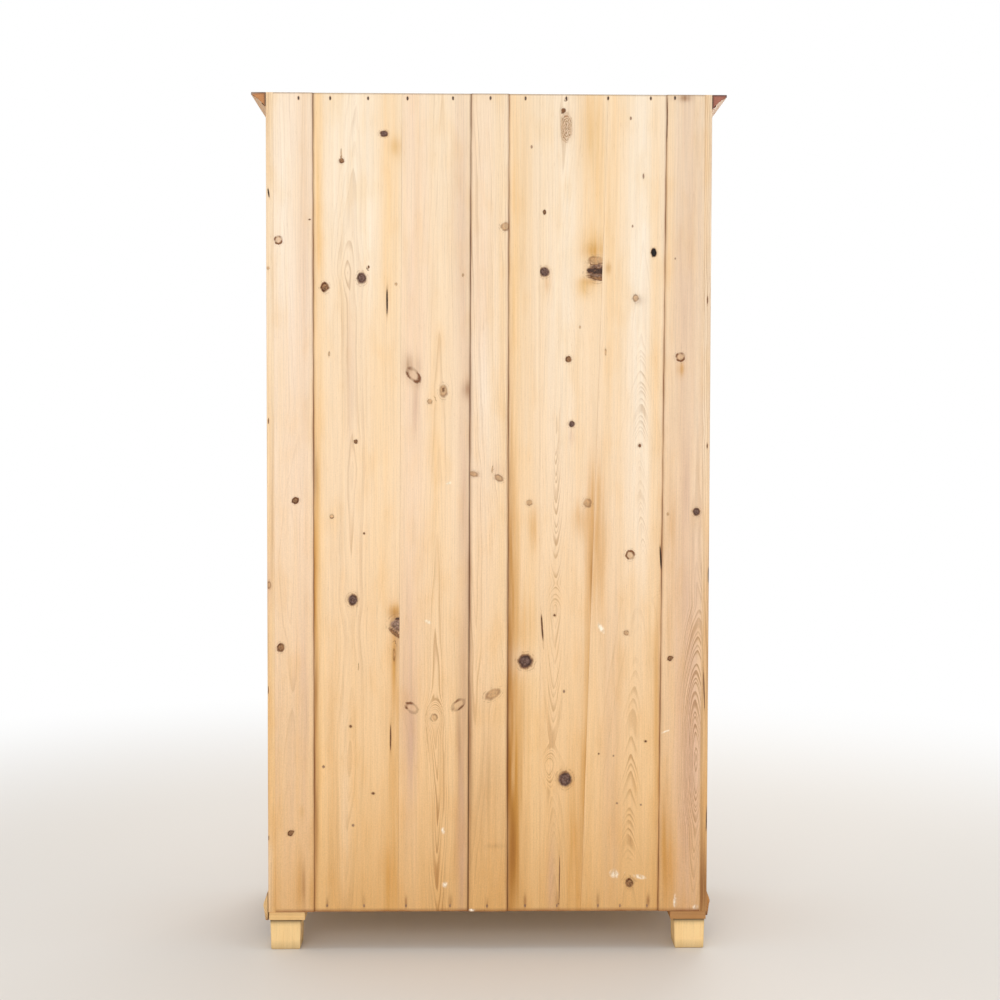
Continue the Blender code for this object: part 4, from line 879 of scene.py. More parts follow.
# %% [markdown]
# ## The finish of the back
# Up close the wood has fine fibres along the grain, broad streaks, and a dark line at the end of each
# year's growth. An image would fix all that at one size. Here the ring count, the knots and the tone come
# from the planks, and noise stretched along the grain gives the rest.

# %% Pine that reads its planks
LATE_WOOD = (0.66, 0.555, 0.45, 1)  # what the dark line of a ring lets through
DIRTY_STREAK = (0.97, 0.92, 0.82, 1)
KNOT_TONES = ((0.0, linear(254, 242, 222)), (0.1, linear(228, 184, 132)), (0.3, linear(204, 154, 102)),
              (0.44, linear(160, 116, 76)), (0.52, linear(170, 138, 118)), (0.6, linear(146, 102, 68)),
              (0.7, linear(120, 80, 50)), (0.82, linear(122, 94, 84)), (0.9, linear(70, 46, 32)),
              (1.0, linear(28, 17, 12)))
KNOT_RIM = (0.24, 0.115, 0.055, 1)  # what a knot's dark bark lets through
KNOT_CRACK = (0.16, 0.13, 0.12, 1)
KNOT_SMEAR = (0.62, 0.47, 0.34, 1)
OLD_STAIN = (0.96, 0.88, 0.74, 1)
SCUFFED = 0.04  # cores below this are pale scuffs
FIBRES = (7, 330, 330)  # bumps of noise to a metre along, across and through the grain
STREAKS = (1.1, 60, 60)
STAINS = (8, 22, 22)
WEAR = (300, 340, 340)
FLECKS = (45, 700, 700)
RING_WANDER = (5, 90, 90)
RING_FADE = (3, 50, 50)
SPECKLES = (300, 420, 420)
PATCHES = (110, 150, 150)
STRANDS = (60, 420, 420)
BACK_WEAR, WEAR_LOSS = 0.24, 0.1  # wear at the floor, and how much of it a metre of height takes off
RING_SHIFT = 0.6  # rings by which noise moves the count
LATE_RISE, LATE_FALL = (0.3, 0.85), (0.9, 1.0)  # shares of a ring where its dark line comes and goes
BOLD_EDGE = (0.35, 0.8)  # strengths between which nearly all rings come to show
FADE_EDGE, FADE_LEAST, FADE_SPAN = (0.25, 0.75), 0.25, 0.95
FLECK_EDGE, FLECK_SHADE = (0.6, 0.72), 0.22
STREAK_EDGE, STREAK_SHADE = (0.35, 0.75), 0.5
STAIN_EDGE, STAIN_SHADE = (0.45, 0.75), 0.55
FIBRE_LEAST, FIBRE_SPAN = 0.88, 0.26
KNOT_SHIFT = (3.7, 5.1, 7.3)  # how far a knot's own number moves its noise
SPOT_NOISE, SPOT_PUSH = 1.3, 0.4  # bumps to a radius, and how far they push the outline
BROKEN_NOISE, SPLIT_NOISE = 0.6, 2.2
SPECKLE_PUSH = 0.25
MOTTLE = (0.35, 0.65)
BORDER, CORE_FULL = (0.78, 1.08), 0.5  # radii where a core ends, and the darkness from which it is filled
WOODY = (0.28, 0.42)  # darkness from which a core has layers and cracks
RIMLESS = (0.02, 0.15)
RIM_START, RIM_END, RIM_BREAK, RIM_LEAST = (0.48, 0.86), (0.98, 1.26), (0.42, 0.56), 0.35
RUB_END, RUB_LEAST, RUB_PATCH, RUB_STRAND = (0.3, 1.3), 0.15, 0.5, 0.35
LAYERS, TORN_LAYERS, LAYER_SHIFT = 2.4, 2.6, 0.4  # to a radius, more in torn wood, moved by patches
LAYER_RISE, LAYER_FALL, LAYER_END, LAYER_SHADE = (0.4, 0.75), (0.85, 1.0), (0.75, 1.0), 0.85
TORN_GAP = 0.6
CRACK_EDGE, CRACK_END, CRACK_SHADE = (0.5, 0.6), (0.4, 0.95), 0.55
STROKES, STROKE_RISE, STROKE_BREAK, STROKE_SHADE = 2.6, (0.5, 0.8), (0.45, 0.55), 0.3
STROKE_START, STROKE_END = (1.05, 1.2), (1.3, 2.0)
STROKE_CORES, CHARRED = (0.1, 0.3), (0.84, 0.88)
SMEAR_END, SMEAR_LEAST, SMEAR_SPAN, SMEAR_CORES = (0.9, 1.9), 0.12, 0.35, (0.08, 0.8)
FILL_LEAST, FILL_PATCH, FILL_SPECKLE = 0.5, 0.35, 0.5
KNOT_NEAR = (2.2, 2.7)  # radii beyond which no knot is drawn
RAW_ROUGH, RAW_SPECULAR, FIBRE_ROUGH, BACK_SHINE = 0.62, 0.3, 0.16, 0.08
FIBRE_DENT, LINE_DENT = 0.6, 0.5
BACK_DENT = (0.25, 0.0006)  # strength and metres


def ramp(wire, stops):
    """A colour ramp through (place, colour) stops."""
    made = wire.tree.nodes.new("ShaderNodeValToRGB")
    elements = made.color_ramp.elements
    while len(elements) < len(stops):
        elements.new(1.0)
    for element, (place, colour) in zip(elements, stops):
        element.position = place
        element.color = (*colour, 1)
    wire.into(made.inputs[0])
    return Wire(wire.tree, made.outputs[0])


def attribute(wire, name, out):
    """A value that the points of a mesh carry: a colour at socket 0, a vector at 1, a number at 2."""
    return wire.node("ShaderNodeAttribute", {"attribute_name": name}, None, out)


def grained(tone, grain, count, strength, worn):
    """Tone with growth rings and fibres. The fraction of the ring count darkens slowly and stops short.
    Where the figure is weak only a few rings show, by the cube of a number of their own, and where it is
    strong nearly all do. Noise stretched along the grain gives fibres, flecks, streaks and stains; even
    noise gives wear."""
    fibre = grain.scaled(*FIBRES).noise(4.0)
    streak = grain.scaled(*STREAKS).noise(2.0).step(*STREAK_EDGE)
    stain = grain.scaled(*STAINS).noise(3.0).step(*STAIN_EDGE)
    wear = (grain.scaled(*WEAR).noise(1.0) - 0.5) * worn
    fleck = grain.scaled(*FLECKS).noise(2.0).step(*FLECK_EDGE)
    faded = grain.scaled(*RING_FADE).noise(1.0).step(*FADE_EDGE)
    count = count + (grain.scaled(*RING_WANDER).noise(1.0) - 0.5) * RING_SHIFT
    part, whole = count.through("FRACT"), count.through("FLOOR")
    late = part.step(*LATE_RISE) * part.fall(*LATE_FALL)
    own = whole.node("ShaderNodeTexWhiteNoise", {"noise_dimensions": "1D"}, {"W": whole})
    bold = strength.step(*BOLD_EDGE)
    seen = own * own * own * (1 - bold) + (0.5 + own * 0.5) * bold
    line = late * strength * seen * (FADE_LEAST + faded * FADE_SPAN)
    colour = tone.darkened(line, LATE_WOOD).darkened(fleck * FLECK_SHADE, LATE_WOOD)
    colour = colour.darkened(streak * STREAK_SHADE, DIRTY_STREAK).darkened(stain * STAIN_SHADE, OLD_STAIN)
    return colour.lighter(FIBRE_LEAST + fibre * FIBRE_SPAN + wear), fibre, line


def knotted(colour, grain, place, core, rim, own):
    """Draws a knot from a point's place in it, in radii. Noise pushes the place about, so outline and
    layers are uneven; noise read on a circle of directions breaks the rim, the strokes outside it that
    follow the outline, and opens cracks from the middle. A smear of darker grain fades outside. Scuffs are
    pale with a soft edge."""
    apart = place.joined(*[own * shift for shift in KNOT_SHIFT])
    spot = place.moved(place.scaled(SPOT_NOISE, SPOT_NOISE, 0).moved(apart).jitter(SPOT_PUSH))
    heading = spot.vector("NORMALIZE")
    sizes = (BROKEN_NOISE, SPLIT_NOISE)
    broken, split = [heading.scaled(size, size, 0).moved(apart).noise(1.0) for size in sizes]
    speckle = grain.scaled(*SPECKLES).noise(2.0)
    patch = grain.scaled(*PATCHES).noise(1.0).step(*MOTTLE)
    strand = grain.scaled(*STRANDS).noise(1.0).step(*MOTTLE)
    share = spot.length() + (speckle - 0.5) * SPECKLE_PUSH
    woody = core.step(*WOODY)
    scuffed = core.fall(SCUFFED / 2, SCUFFED)
    torn = rim.fall(*RIMLESS) * core.step(SCUFFED, SCUFFED * 2)
    inside = share.fall(*BORDER) * core.step(SCUFFED * 2, CORE_FULL)
    rubbed = share.fall(*RUB_END) * (RUB_LEAST + patch * RUB_PATCH + strand * RUB_STRAND) * scuffed
    bark = RIM_LEAST + broken.step(*RIM_BREAK) * (1 - RIM_LEAST)
    edge = share.step(*RIM_START) * share.fall(*RIM_END) * bark
    layer = (share * (LAYERS + torn * TORN_LAYERS) + patch * LAYER_SHIFT).through("FRACT")
    layer = layer.step(*LAYER_RISE) * layer.fall(*LAYER_FALL) * share.fall(*LAYER_END)
    star = split.step(*CRACK_EDGE) * share.fall(*CRACK_END) * woody * (1 - torn)
    stroke = (share * STROKES).through("FRACT").step(*STROKE_RISE) * split.step(*STROKE_BREAK)
    stroke = stroke * share.step(*STROKE_START) * share.fall(*STROKE_END) * (1 - torn)
    stroke = stroke * core.step(*STROKE_CORES) * core.fall(*CHARRED)
    smear = share.fall(*SMEAR_END) * (SMEAR_LEAST + strand * SMEAR_SPAN) * core.step(*SMEAR_CORES)
    filled = inside * (1 - torn * (1 - layer) * TORN_GAP) + rubbed
    fill = ramp(core, KNOT_TONES).lighter(FILL_LEAST + patch * FILL_PATCH + speckle * FILL_SPECKLE)
    colour = colour.darkened(smear, KNOT_SMEAR).towards(filled, fill)
    colour = colour.darkened(layer * woody * LAYER_SHADE, KNOT_SMEAR)
    colour = colour.darkened(stroke * STROKE_SHADE, KNOT_RIM).darkened(edge * rim, KNOT_RIM)
    return colour.darkened(star * CRACK_SHADE, KNOT_CRACK)


def fibres_felt(sockets, fibre, line, roughness, shine, dent):
    """Roughness and dents of planed wood: fibres stand up, and the hard dark lines shine."""
    (roughness + fibre * FIBRE_ROUGH - line * shine).into(sockets["Roughness"])
    bump_into(sockets, fibre * FIBRE_DENT + line * LINE_DENT, *dent)


def back_finish():
    """Raw pine whose rings, knots and tone come from the planks. The grain runs along Z."""
    material, wire, sockets = new_finish("raw_back_pine", {"Specular IOR Level": RAW_SPECULAR})
    x, y, z = place_in_piece(wire).parts()
    grain = wire.joined(z, x, y)
    wide, tall, near = attribute(wire, "knot", 1).parts()
    core, rim, own = attribute(wire, "knot_look", 1).parts()
    tone = attribute(wire, "tone", 0)
    count, strength = attribute(wire, "ring", 2), attribute(wire, "figure", 2)
    colour, fibre, line = grained(tone, grain, count, strength, BACK_WEAR - z * WEAR_LOSS)
    drawn = knotted(colour, grain, wire.joined(wide, tall), core, rim, own)
    colour.towards(near.fall(*KNOT_NEAR), drawn).into(sockets["Base Color"])
    fibres_felt(sockets, fibre, line, RAW_ROUGH, BACK_SHINE, BACK_DENT)
    return material


BACK_PINE = back_finish()
print("finish", BACK_PINE.name)

# %% [markdown]
# ## Cutting the planks of the back
# Each plank's section is a loop: the face with its rounded edges, down one edge with its tongue or groove,
# back along the inner side and up the other edge. The loop is carried from foot to head, wider or narrower
# where the plank tapers, and the face is dented at cracks and raised a hair at knots.

# %% Planks
CELL_ACROSS = 0.0024
CELL_UP = 0.0030
INNER_CELLS = 3  # face cells to one cell of the inner side
ARRIS = 0.0011
JOINT_ARRIS = 0.0003
ARRIS_STEPS = np.array([0.1, 0.35, 0.7, 1.0])  # shares of an arris where its quarter circle has points
END_STEPS = np.array([0.0, 0.15, 0.5, 1.0])
END_SHARE = 0.8  # of the arris at the head and the foot
TONGUE_REACH = 0.0077
TONGUE_HALF = 0.0030
GROOVE_REACH = 0.0083
GROOVE_HALF = 0.0033
TONGUE_MIDDLE = (STILE_LOW[1] + STILE_HIGH[1]) / 2
EDGE_SHAPES = {TONGUE: (TONGUE_REACH, TONGUE_HALF), GROOVE: (-GROOVE_REACH, GROOVE_HALF)}
# How far down from the head of the back the tone turns grey.
HEAD_GREY_REACH = 0.003
TOP_GREY = 0.85
GROOVE_SHADE = 0.0026
FACE_SHADE = 0.6  # how much of a groove's dirt and painted shade a stile has
# Brown along the foot of the back: partly dirt and partly painted shadow of the gap above the plates.
FOOT_DIRT_AND_SHADOW = 0.0085
# A near-black line along a few seams: painted shadow of the gap between the boards, with some dirt.
SEAM_SHADOW_AND_DIRT_LINE = 0.0022
SEAM_SHADOW_AND_DIRT_WEIGHTS = {  # plank and edge, and how black its seam is at the foot and at the head
    ("back_plank_a", 1): (0.0, 0.4),
    ("back_plank_b", 0): (1.0, 0.45),
    ("back_plank_c", 1): (0.5, 0.0),
}
SEAM_MEAN, SEAM_PATCHES = 0.7, (Wave(17, 3, 0, 0.18), Wave(71, 50, 0, 0.12))
FOOT_MEAN, FOOT_PATCHES = 0.84, (Wave(0, 37, 0, 0.1), Wave(0, 143, 0, 0.06))
PHASE_START, PHASE_STEP = 0.4, 1.7


def edge_steps(kind):
    """Offsets outwards and y of the points down an edge, from under the arris to above the inner side."""
    if kind == PLAIN:
        return np.array([[0.0, TONGUE_MIDDLE]])
    reach, half = EDGE_SHAPES[kind]
    near, far = TONGUE_MIDDLE - half, TONGUE_MIDDLE + half
    return np.array([[0.0, far], [reach, far], [reach, near], [0.0, near]])


def face_arris(width, count, low_arris, high_arris):
    """Shares of the width across a face and how far each point drops: quarter circles at both edges."""
    even = np.linspace(0, width, count)
    across = np.unique(np.concatenate([even, low_arris * ARRIS_STEPS, width - high_arris * ARRIS_STEPS]))
    low = np.clip(1 - across / low_arris, 0, 1)
    high = np.clip(1 - (width - across) / high_arris, 0, 1)
    drop = low_arris * (1 - np.sqrt(1 - low ** 2)) + high_arris * (1 - np.sqrt(1 - high ** 2))
    return across / width, drop


def plank_rows():
    """Heights of the loops, with a few close together at each end for the rounded ends."""
    ends = ARRIS * END_STEPS
    even = np.arange(FOOT_Z + CELL_UP, HEAD_Z - CELL_UP / 2, CELL_UP)
    return np.concatenate([FOOT_Z + ends, even, HEAD_Z - ends[::-1]])


def arris_of(kind):
    """Edges beside a groove are rounded; glued edges are nearly closed."""
    return JOINT_ARRIS if kind == PLAIN else ARRIS


def plank_sides(plank, z):
    """x of a plank's low and high edge, straight from foot to head."""
    return [foot + (head - foot) * climb_of(z) for foot, head in (plank.low, plank.high)]


def plank_rings(plank):
    """The loops of a plank: along the face from its high edge to its low edge, then round the rest."""
    z = plank_rows()
    low, high = plank_sides(plank, z)
    width = float(np.mean(high - low))
    inner = STILE_LOW[1] if plank.face == Y_BACK else PANEL_LOW[1]
    share, drop = face_arris(width, int(width / CELL_ACROSS), *[arris_of(kind) for kind in plank.edges])
    steps = [edge_steps(kind) for kind in plank.edges]
    inner_share = np.linspace(0, 1, max(2, len(share) // INNER_CELLS))
    flat_share = np.concatenate([share[::-1], np.zeros(len(steps[0])), inner_share, np.ones(len(steps[1]))])
    outwards = np.concatenate([0 * share, -steps[0][:, 0], 0 * inner_share, steps[1][::-1, 0]])
    y = np.concatenate([plank.face - drop[::-1], steps[0][:, 1], 0 * inner_share + inner, steps[1][::-1, 1]])
    x = low[:, None] + (high - low)[:, None] * flat_share[None, :] + outwards[None, :]
    faces_back = np.concatenate([np.ones(len(share)), np.zeros(len(y) - len(share))])
    return x, np.broadcast_to(y, x.shape), np.broadcast_to(z[:, None], x.shape), faces_back


def end_drop(z):
    """How far the face falls back at its rounded head and foot."""
    near_end = np.minimum(z - FOOT_Z, HEAD_Z - z)
    rest = np.clip(1 - near_end / ARRIS, 0, 1)
    return ARRIS * (1 - np.sqrt(1 - rest ** 2)) * END_SHARE


def grooves_shaded(plank, tone, x, z):
    """Dirt and painted shade in the seams: brown within a groove's width of an edge and near black in a few,
    each partly dirt and partly painted shadow of the groove; brown in patches at the foot and grey at the
    head."""
    low, high = plank_sides(plank, z)
    patchy = SEAM_MEAN + waves(SEAM_PATCHES, low, z)
    for side, away in enumerate((x - low, high - x)):
        if plank.edges[side] != PLAIN:
            strength = (1.0 if plank.face < Y_BACK else FACE_SHADE) * patchy
            # brown along a groove: partly dirt and partly painted shade of the groove
            tone = lay_wash(tone, strength * np.exp(-(away / GROOVE_SHADE) ** 2), "rust_and_shade")
            # a near-black line in a few seams: painted shadow of the gap, with some dirt
            foot, head = SEAM_SHADOW_AND_DIRT_WEIGHTS.get((plank.name, side), (0, 0))
            seam_shadow_and_dirt = foot + (head - foot) * climb_of(z)
            tone = lay_wash(tone, seam_shadow_and_dirt * np.exp(-(away / SEAM_SHADOW_AND_DIRT_LINE) ** 2), "seam_shadow_and_dirt")
    # brown at the foot: partly dirt and partly painted shadow of the gap above the plates
    patchy = FOOT_MEAN + waves(FOOT_PATCHES, x, z)
    tone = lay_wash(tone, patchy * np.clip(1 - (z - FOOT_Z) / FOOT_DIRT_AND_SHADOW, 0, 1), "rust_and_shade")
    return lay_wash(tone, TOP_GREY * np.clip(1 - (HEAD_Z - z) / HEAD_GREY_REACH, 0, 1), "grey")


def nails_and_knots(plank):
    nails = [Knot(nail.px, nail.py, NAIL_WIDE, NAIL_TALL, NAIL_LOOKS[nail.py]) for nail in NAILS]
    return (*KNOTS[plank.name], *nails)


def mark_wood(mesh, plank, phase, x, z, tone, field):
    """Puts on every point what the finish of the back reads: rings, their strength, knots and tone."""
    count, strength = ring_count(plank, phase, x, z, nails_and_knots(plank))
    carry(mesh, "ring", "FLOAT", count)
    carry(mesh, "figure", "FLOAT", strength)
    carry(mesh, "knot", "FLOAT_VECTOR", field.place)
    carry(mesh, "knot_look", "FLOAT_VECTOR", field.look)
    carry(mesh, "tone", "FLOAT_COLOR", tone)


def build_plank(plank, phase):
    """A plank with its dents, its marks and its finish, in the place of its solid."""
    x, y, z, faces_back = plank_rings(plank)
    field = knot_field(nails_and_knots(plank), x, z)
    tone = grooves_shaded(plank, washed(aged_and_lit_tone(z), WASHES[plank.name], x, z), x, z)
    depth = np.minimum(y - (field.dent + end_drop(z)) * faces_back, Y_BACK)
    mesh = loft(plank.name, np.stack([x, depth, z], -1))
    mark_wood(mesh, plank, phase, x, z, tone, field)
    add_piece(mesh, BACK_PINE, "carcass", [plank.node])
    print(plank.name, "faces", len(mesh.polygons))


for number, plank in enumerate(PLANKS):
    build_plank(plank, PHASE_STEP * number + PHASE_START)

# %% [markdown]
# ## Pine for the other boards
# The front, the sides and the inside aren't in the picture. They get pine of the same kind, waxed where
# hands reach it. These boards have few points, so the rings are worked out in the shader: every point
# carries its place in a log, along, across and through it, and the distance to the log's heart gives the
# rings on faces, edges and end grain alike. A cell texture scatters the knots.

# %% Pine that finds its own rings
KNOT_CELL_LONG = 0.34
KNOT_CELL_WIDE = 0.085
KNOT_LEAST = 0.0024
KNOT_SPREAD = 0.0062
RING_WIDTH = 0.0040
HEART_SWAY = 0.012  # how far the heart wanders sideways
HEART_DIP = 0.05  # and in depth
SWAY_NOISE, DIP_NOISE = (1.7, 4, 4), (1.3, 0, 0)
BOARD_WEAR, BOARD_SHINE, BOARD_DENT = 0.1, 0.1, (0.2, 0.0005)
DARK_LEAST, DARK_SPAN = 0.3, 0.48
KNOT_CHANCE = (0.48, 0.5)  # about half of the cells have a knot
KNOT_PUSH = 0.7
KNOT_SHORT = 0.9
BOARD_RIM = 0.4
OWN_SPREAD = 50


def cell_knots(wire, along, across):
    """The nearest cell's middle as a knot: how far along and across it a point lies, the knot's radius and
    darkness, and 1 where the cell has a knot at all."""
    place = wire.joined(along / KNOT_CELL_LONG, across / KNOT_CELL_WIDE)
    values = {"Vector": place, "Scale": 1.0}
    cell = wire.node("ShaderNodeTexVoronoi", {"voronoi_dimensions": "2D"}, values).socket.node
    middle = Wire(wire.tree, cell.outputs["Position"]).parts()
    chance = Wire(wire.tree, cell.outputs["Color"]).parts()
    far_along = along - middle[0] * KNOT_CELL_LONG
    far_across = across - middle[1] * KNOT_CELL_WIDE
    radius = KNOT_LEAST + chance[0] * chance[0] * KNOT_SPREAD
    dark = DARK_LEAST + chance[1] * DARK_SPAN
    return far_along, far_across, radius, dark, chance[2].step(*KNOT_CHANCE)


def board_finish(name, roughness, figure, specular):
    """Waxed or raw pine. Rings: the square root of across squared plus depth squared, over a ring's width,
    where the depth wanders along the log and across is eased round knots."""
    material, wire, sockets = new_finish(name, {"Specular IOR Level": specular})
    grain = attribute(wire, "grain", 1)
    along, across, through = grain.parts()
    far_along, far_across, radius, dark, kept = cell_knots(wire, along, across)
    side, up = far_across / (radius * PART_ACROSS), far_along / (radius * PART_ALONG)
    fall = 0 - side * side - up * up
    bell = kept * fall.through("EXPONENT")
    sway = (grain.scaled(*SWAY_NOISE).noise(1.0) - 0.5) * HEART_SWAY
    eased = across - far_across * bell * KNOT_PUSH + sway
    depth = through + (grain.scaled(*DIP_NOISE).noise(1.0) - 0.5) * HEART_DIP
    heart = eased * eased + depth * depth
    count = heart.through("SQRT") / RING_WIDTH
    tone = attribute(wire, "tone", 0)
    colour, fibre, line = grained(tone, grain, count, wire.fixed(figure), BOARD_WEAR)
    away = (1 - kept) * FAR_FROM_KNOT
    in_knot = wire.joined(far_across / radius + away, far_along / radius * KNOT_SHORT)
    rim = BOARD_RIM + dark * (1 - BOARD_RIM)
    knotted(colour, grain, in_knot, dark, rim, dark * OWN_SPREAD).into(sockets["Base Color"])
    fibres_felt(sockets, fibre, line, roughness, BOARD_SHINE, BOARD_DENT)
    return material


OLD_PINE = board_finish("waxed_pine", roughness=0.42, figure=0.75, specular=0.4)
RAW_PINE = board_finish("raw_pine", roughness=RAW_ROUGH, figure=0.5, specular=RAW_SPECULAR)
WAXED = linear(222, 175, 117)
RAW = linear(236, 203, 156)
print("finishes", OLD_PINE.name, RAW_PINE.name)

# %% [markdown]
# ## Boards with eased edges
# A sawn board has sharp edges only for a day; planing and wear round them. A cube with a Bevel would do for
# the shape, but a loop carried along the board gives round edges, round ends and the place in the log all
# at once.

# %% Rounded boards
AXES = {"x": (1, 2, 0), "y": (2, 0, 1), "z": (0, 1, 2)}  # across, through and along for each direction
CORNER_STEPS = 4
BOARD_ARRIS = 0.0013
LEAST_ROUND = 0.3  # share of the arris that the corners of an end keep
LOG_LENGTH = 30.0
HEART_ASIDE = 0.35  # share of a board's width
HEART_BEHIND = (0.012, 0.05)
SHADES = (0.94, 1.03)  # from the darkest board to the lightest
HAIR = 0.00015  # kept between faces that would lie in one plane
chance = np.random.default_rng(5)


def rounded_loop(half_u, half_v, radius):
    """A rectangle with round corners: each corner's centre plus radius times the cosine and sine of a
    quarter turn, corner after corner, anticlockwise."""
    turn = np.linspace(0, np.pi / 2, CORNER_STEPS + 1)[None, :] + np.arange(4)[:, None] * np.pi / 2
    u = np.array([[1], [-1], [-1], [1]]) * (half_u - radius) + radius * np.cos(turn)
    v = np.array([[1], [1], [-1], [-1]]) * (half_v - radius) + radius * np.sin(turn)
    return np.stack([u.ravel(), v.ravel()], -1)


def rounded_block(low, high, along, arris, taper=0.0):
    """Loops from end to end of a box. At each end the loop draws in by arris times (1 - sine) while it
    moves on by arris times (1 - cosine), so the end is rounded; taper draws the first end in further."""
    order = list(AXES[along])
    low, high = np.array(low)[order], np.array(high)[order]
    middle, half = (low + high) / 2, (high - low) / 2
    curl = np.linspace(0, np.pi / 2, CORNER_STEPS + 1)
    inset = arris * (1 - np.sin(curl))
    place = low[2] + arris * (1 - np.cos(curl))
    inset = np.concatenate([inset, inset[::-1]])
    place = np.concatenate([place, (low[2] + high[2] - place)[::-1]])
    inset = inset + taper * (high[2] - place) / (high[2] - low[2])
    loops = [rounded_loop(half[0] - i, half[1] - i, max(arris - i, arris * LEAST_ROUND)) for i in inset]
    heights = np.broadcast_to(place[:, None, None], (len(place), len(loops[0]), 1))
    local = np.concatenate([np.array(loops) + middle[:2], heights], -1)
    rings = np.empty_like(local)
    rings[..., order] = local
    return rings


def log_place(points, along):
    """Where points lie in a log: along it from a chance start, across and through from a heart that lies
    near the middle of the board's width and somewhat behind its face."""
    order = list(AXES[along])
    low, high = points.reshape(-1, 3).min(0), points.reshape(-1, 3).max(0)
    size = (high - low)[order]
    wide, thin = (order[0], order[1]) if size[0] >= size[1] else (order[1], order[0])
    start = chance.uniform(0, LOG_LENGTH)
    aside = chance.uniform(-HEART_ASIDE, HEART_ASIDE) * (high[wide] - low[wide])
    behind = chance.uniform(*HEART_BEHIND)
    across = points[..., wide] - ((low[wide] + high[wide]) / 2 + aside)
    return np.stack([points[..., order[2]] + start, across, points[..., thin] - low[thin] + behind], -1)


def wooden(name, rings, along, tone, body, nodes, finish=None):
    """A wooden piece from its loops, with its place in the log and its tone on every point."""
    mesh = loft(name, rings)
    carry(mesh, "grain", "FLOAT_VECTOR", log_place(rings, along))
    shade = tone * chance.uniform(*SHADES)
    carry(mesh, "tone", "FLOAT_COLOR", np.broadcast_to(shade, rings.shape))
    piece = add_piece(mesh, finish or OLD_PINE, body, nodes)
    piece.modifiers.new("even_faces", "WEIGHTED_NORMAL").keep_sharp = True


def board(name, low, high, along, tone=WAXED, body="carcass", finish=None, arris=BOARD_ARRIS):
    """A plain board in the place of its solid."""
    wooden(name, rounded_block(low, high, along, arris), along, tone, body, [name], finish)


print("board helpers ready")

# %% [markdown]
# ## Sides
# Each side is one wide board. A rebate along its rear inner edge takes the back, so only a narrow lip shows
# from behind. A section like that is an outline with a step, carried upwards. The lip was never waxed, so
# its faces get the finish and the marks of the back, and the other faces waxed pine.

# %% Sides with a rebated lip
REBATE_ROOM = 0.0003
REBATE_Y = STILE_LOW[1] - REBATE_ROOM
LIP_WIDE = 0.0162
LIP_COLUMNS = 7
SIDE_ROWS = 300
SIDE_ARRIS = 0.0016
Lip = namedtuple("Lip", "px bold")  # picture column, strength of the rings
LIPS = {"left": Lip(705, 1.0), "right": Lip(269, 0.6)}
WASHES["side_right"] = (
    Wash("honey", 269, 480, 6, 700, 0.4), Wash("orange", 268, 760, 6, 200, 0.35),
    Wash("mauve", 268, 585, 6, 40, 0.5), Wash("orange", 268, 120, 5, 90, 0.3),
    Wash("brown", 272, 520, 2, 120, 0.3), Wash("pale", 270, 290, 5, 160, 0.3),
    # The dark wash at 266.4, 904 is painted shadow of the gap between this lip and the base moulding.
    Wash("rust_and_shade", 266.4, 904, 2.2, 16, 1.0), Wash("brown", 268, 640, 2, 60, 0.25),
    Wash("pale", 269, 870, 6, 70, 0.3),
)
WASHES["side_left"] = (
    Wash("orange", 706, 720, 8, 330, 0.42), Wash("rust_and_shade", 701.5, 790, 2, 330, 0.38),
    Wash("brown", 709, 640, 3, 160, 0.6), Wash("pale", 706, 290, 8, 260, 0.35),
    Wash("brown", 704, 880, 5, 80, 0.5), Wash("honey", 706, 200, 6, 200, 0.4),
    Wash("rust_and_shade", 709, 575, 2, 60, 0.5), Wash("mauve", 706, 200, 10, 300, 0.1),
    # The dark wash at 708.6, 902 is painted shadow of the gap between this lip and the base moulding.
    Wash("brown", 706, 893, 9, 50, 0.6), Wash("rust_and_shade", 708.6, 902, 2.2, 14, 1.0),
)
KNOTS["side_right"] = (
    Knot(268.6, 193, 1.6, 9, "crack", 8), Knot(268, 268, 3, 3, "faint"), Knot(269, 585, 4, 7, "faint"),
    Knot(268.4, 421, 1.2, 6, "speck"), Knot(268.2, 690, 1.2, 8, "speck"), Knot(268.4, 838, 1.6, 5, "speck"),
)
KNOTS["side_left"] = (
    Knot(708.4, 575, 1.4, 16, "crack"), Knot(707.6, 300, 1.4, 8, "speck"),
    Knot(704, 690, 1.2, 40, "split", 2), Knot(706.6, 817, 1.2, 30, "crack", -2),
    Knot(707.2, 446, 1.4, 5, "speck"),
)


def eased_outline(points, radius):
    """An outline whose corners become curves from a point before to a point after: (1 - t) squared,
    2 t (1 - t) and t squared parts of the point before, the corner and the point after."""
    points, radius = np.array(points, float), np.array(radius)[:, None]
    before = np.roll(points, 1, 0) - points
    after = np.roll(points, -1, 0) - points
    start = points + radius * before / np.linalg.norm(before, axis=1, keepdims=True)
    end = points + radius * after / np.linalg.norm(after, axis=1, keepdims=True)
    t = np.linspace(0, 1, CORNER_STEPS + 1)[None, :, None]
    curve = (1 - t) ** 2 * start[:, None] + 2 * t * (1 - t) * points[:, None] + t ** 2 * end[:, None]
    return curve.reshape(-1, 2)


def lip_wood(side, low, high):
    """The rear edge of a side as a plank of its own: rings that run nearly straight, bolder on one side."""
    px, bold = LIPS[side]
    name = f"side_{side}"
    HEARTS[name] = (Heart(95, px - 7, 14), Heart(400, px - 9, 18),
                    Heart(650, px - 6, 13), Heart(910, px - 9, 17))
    return Plank(name, name, low, high, Y_BACK, (PLAIN, PLAIN), 2.8, Figure(bold, bold, 20))


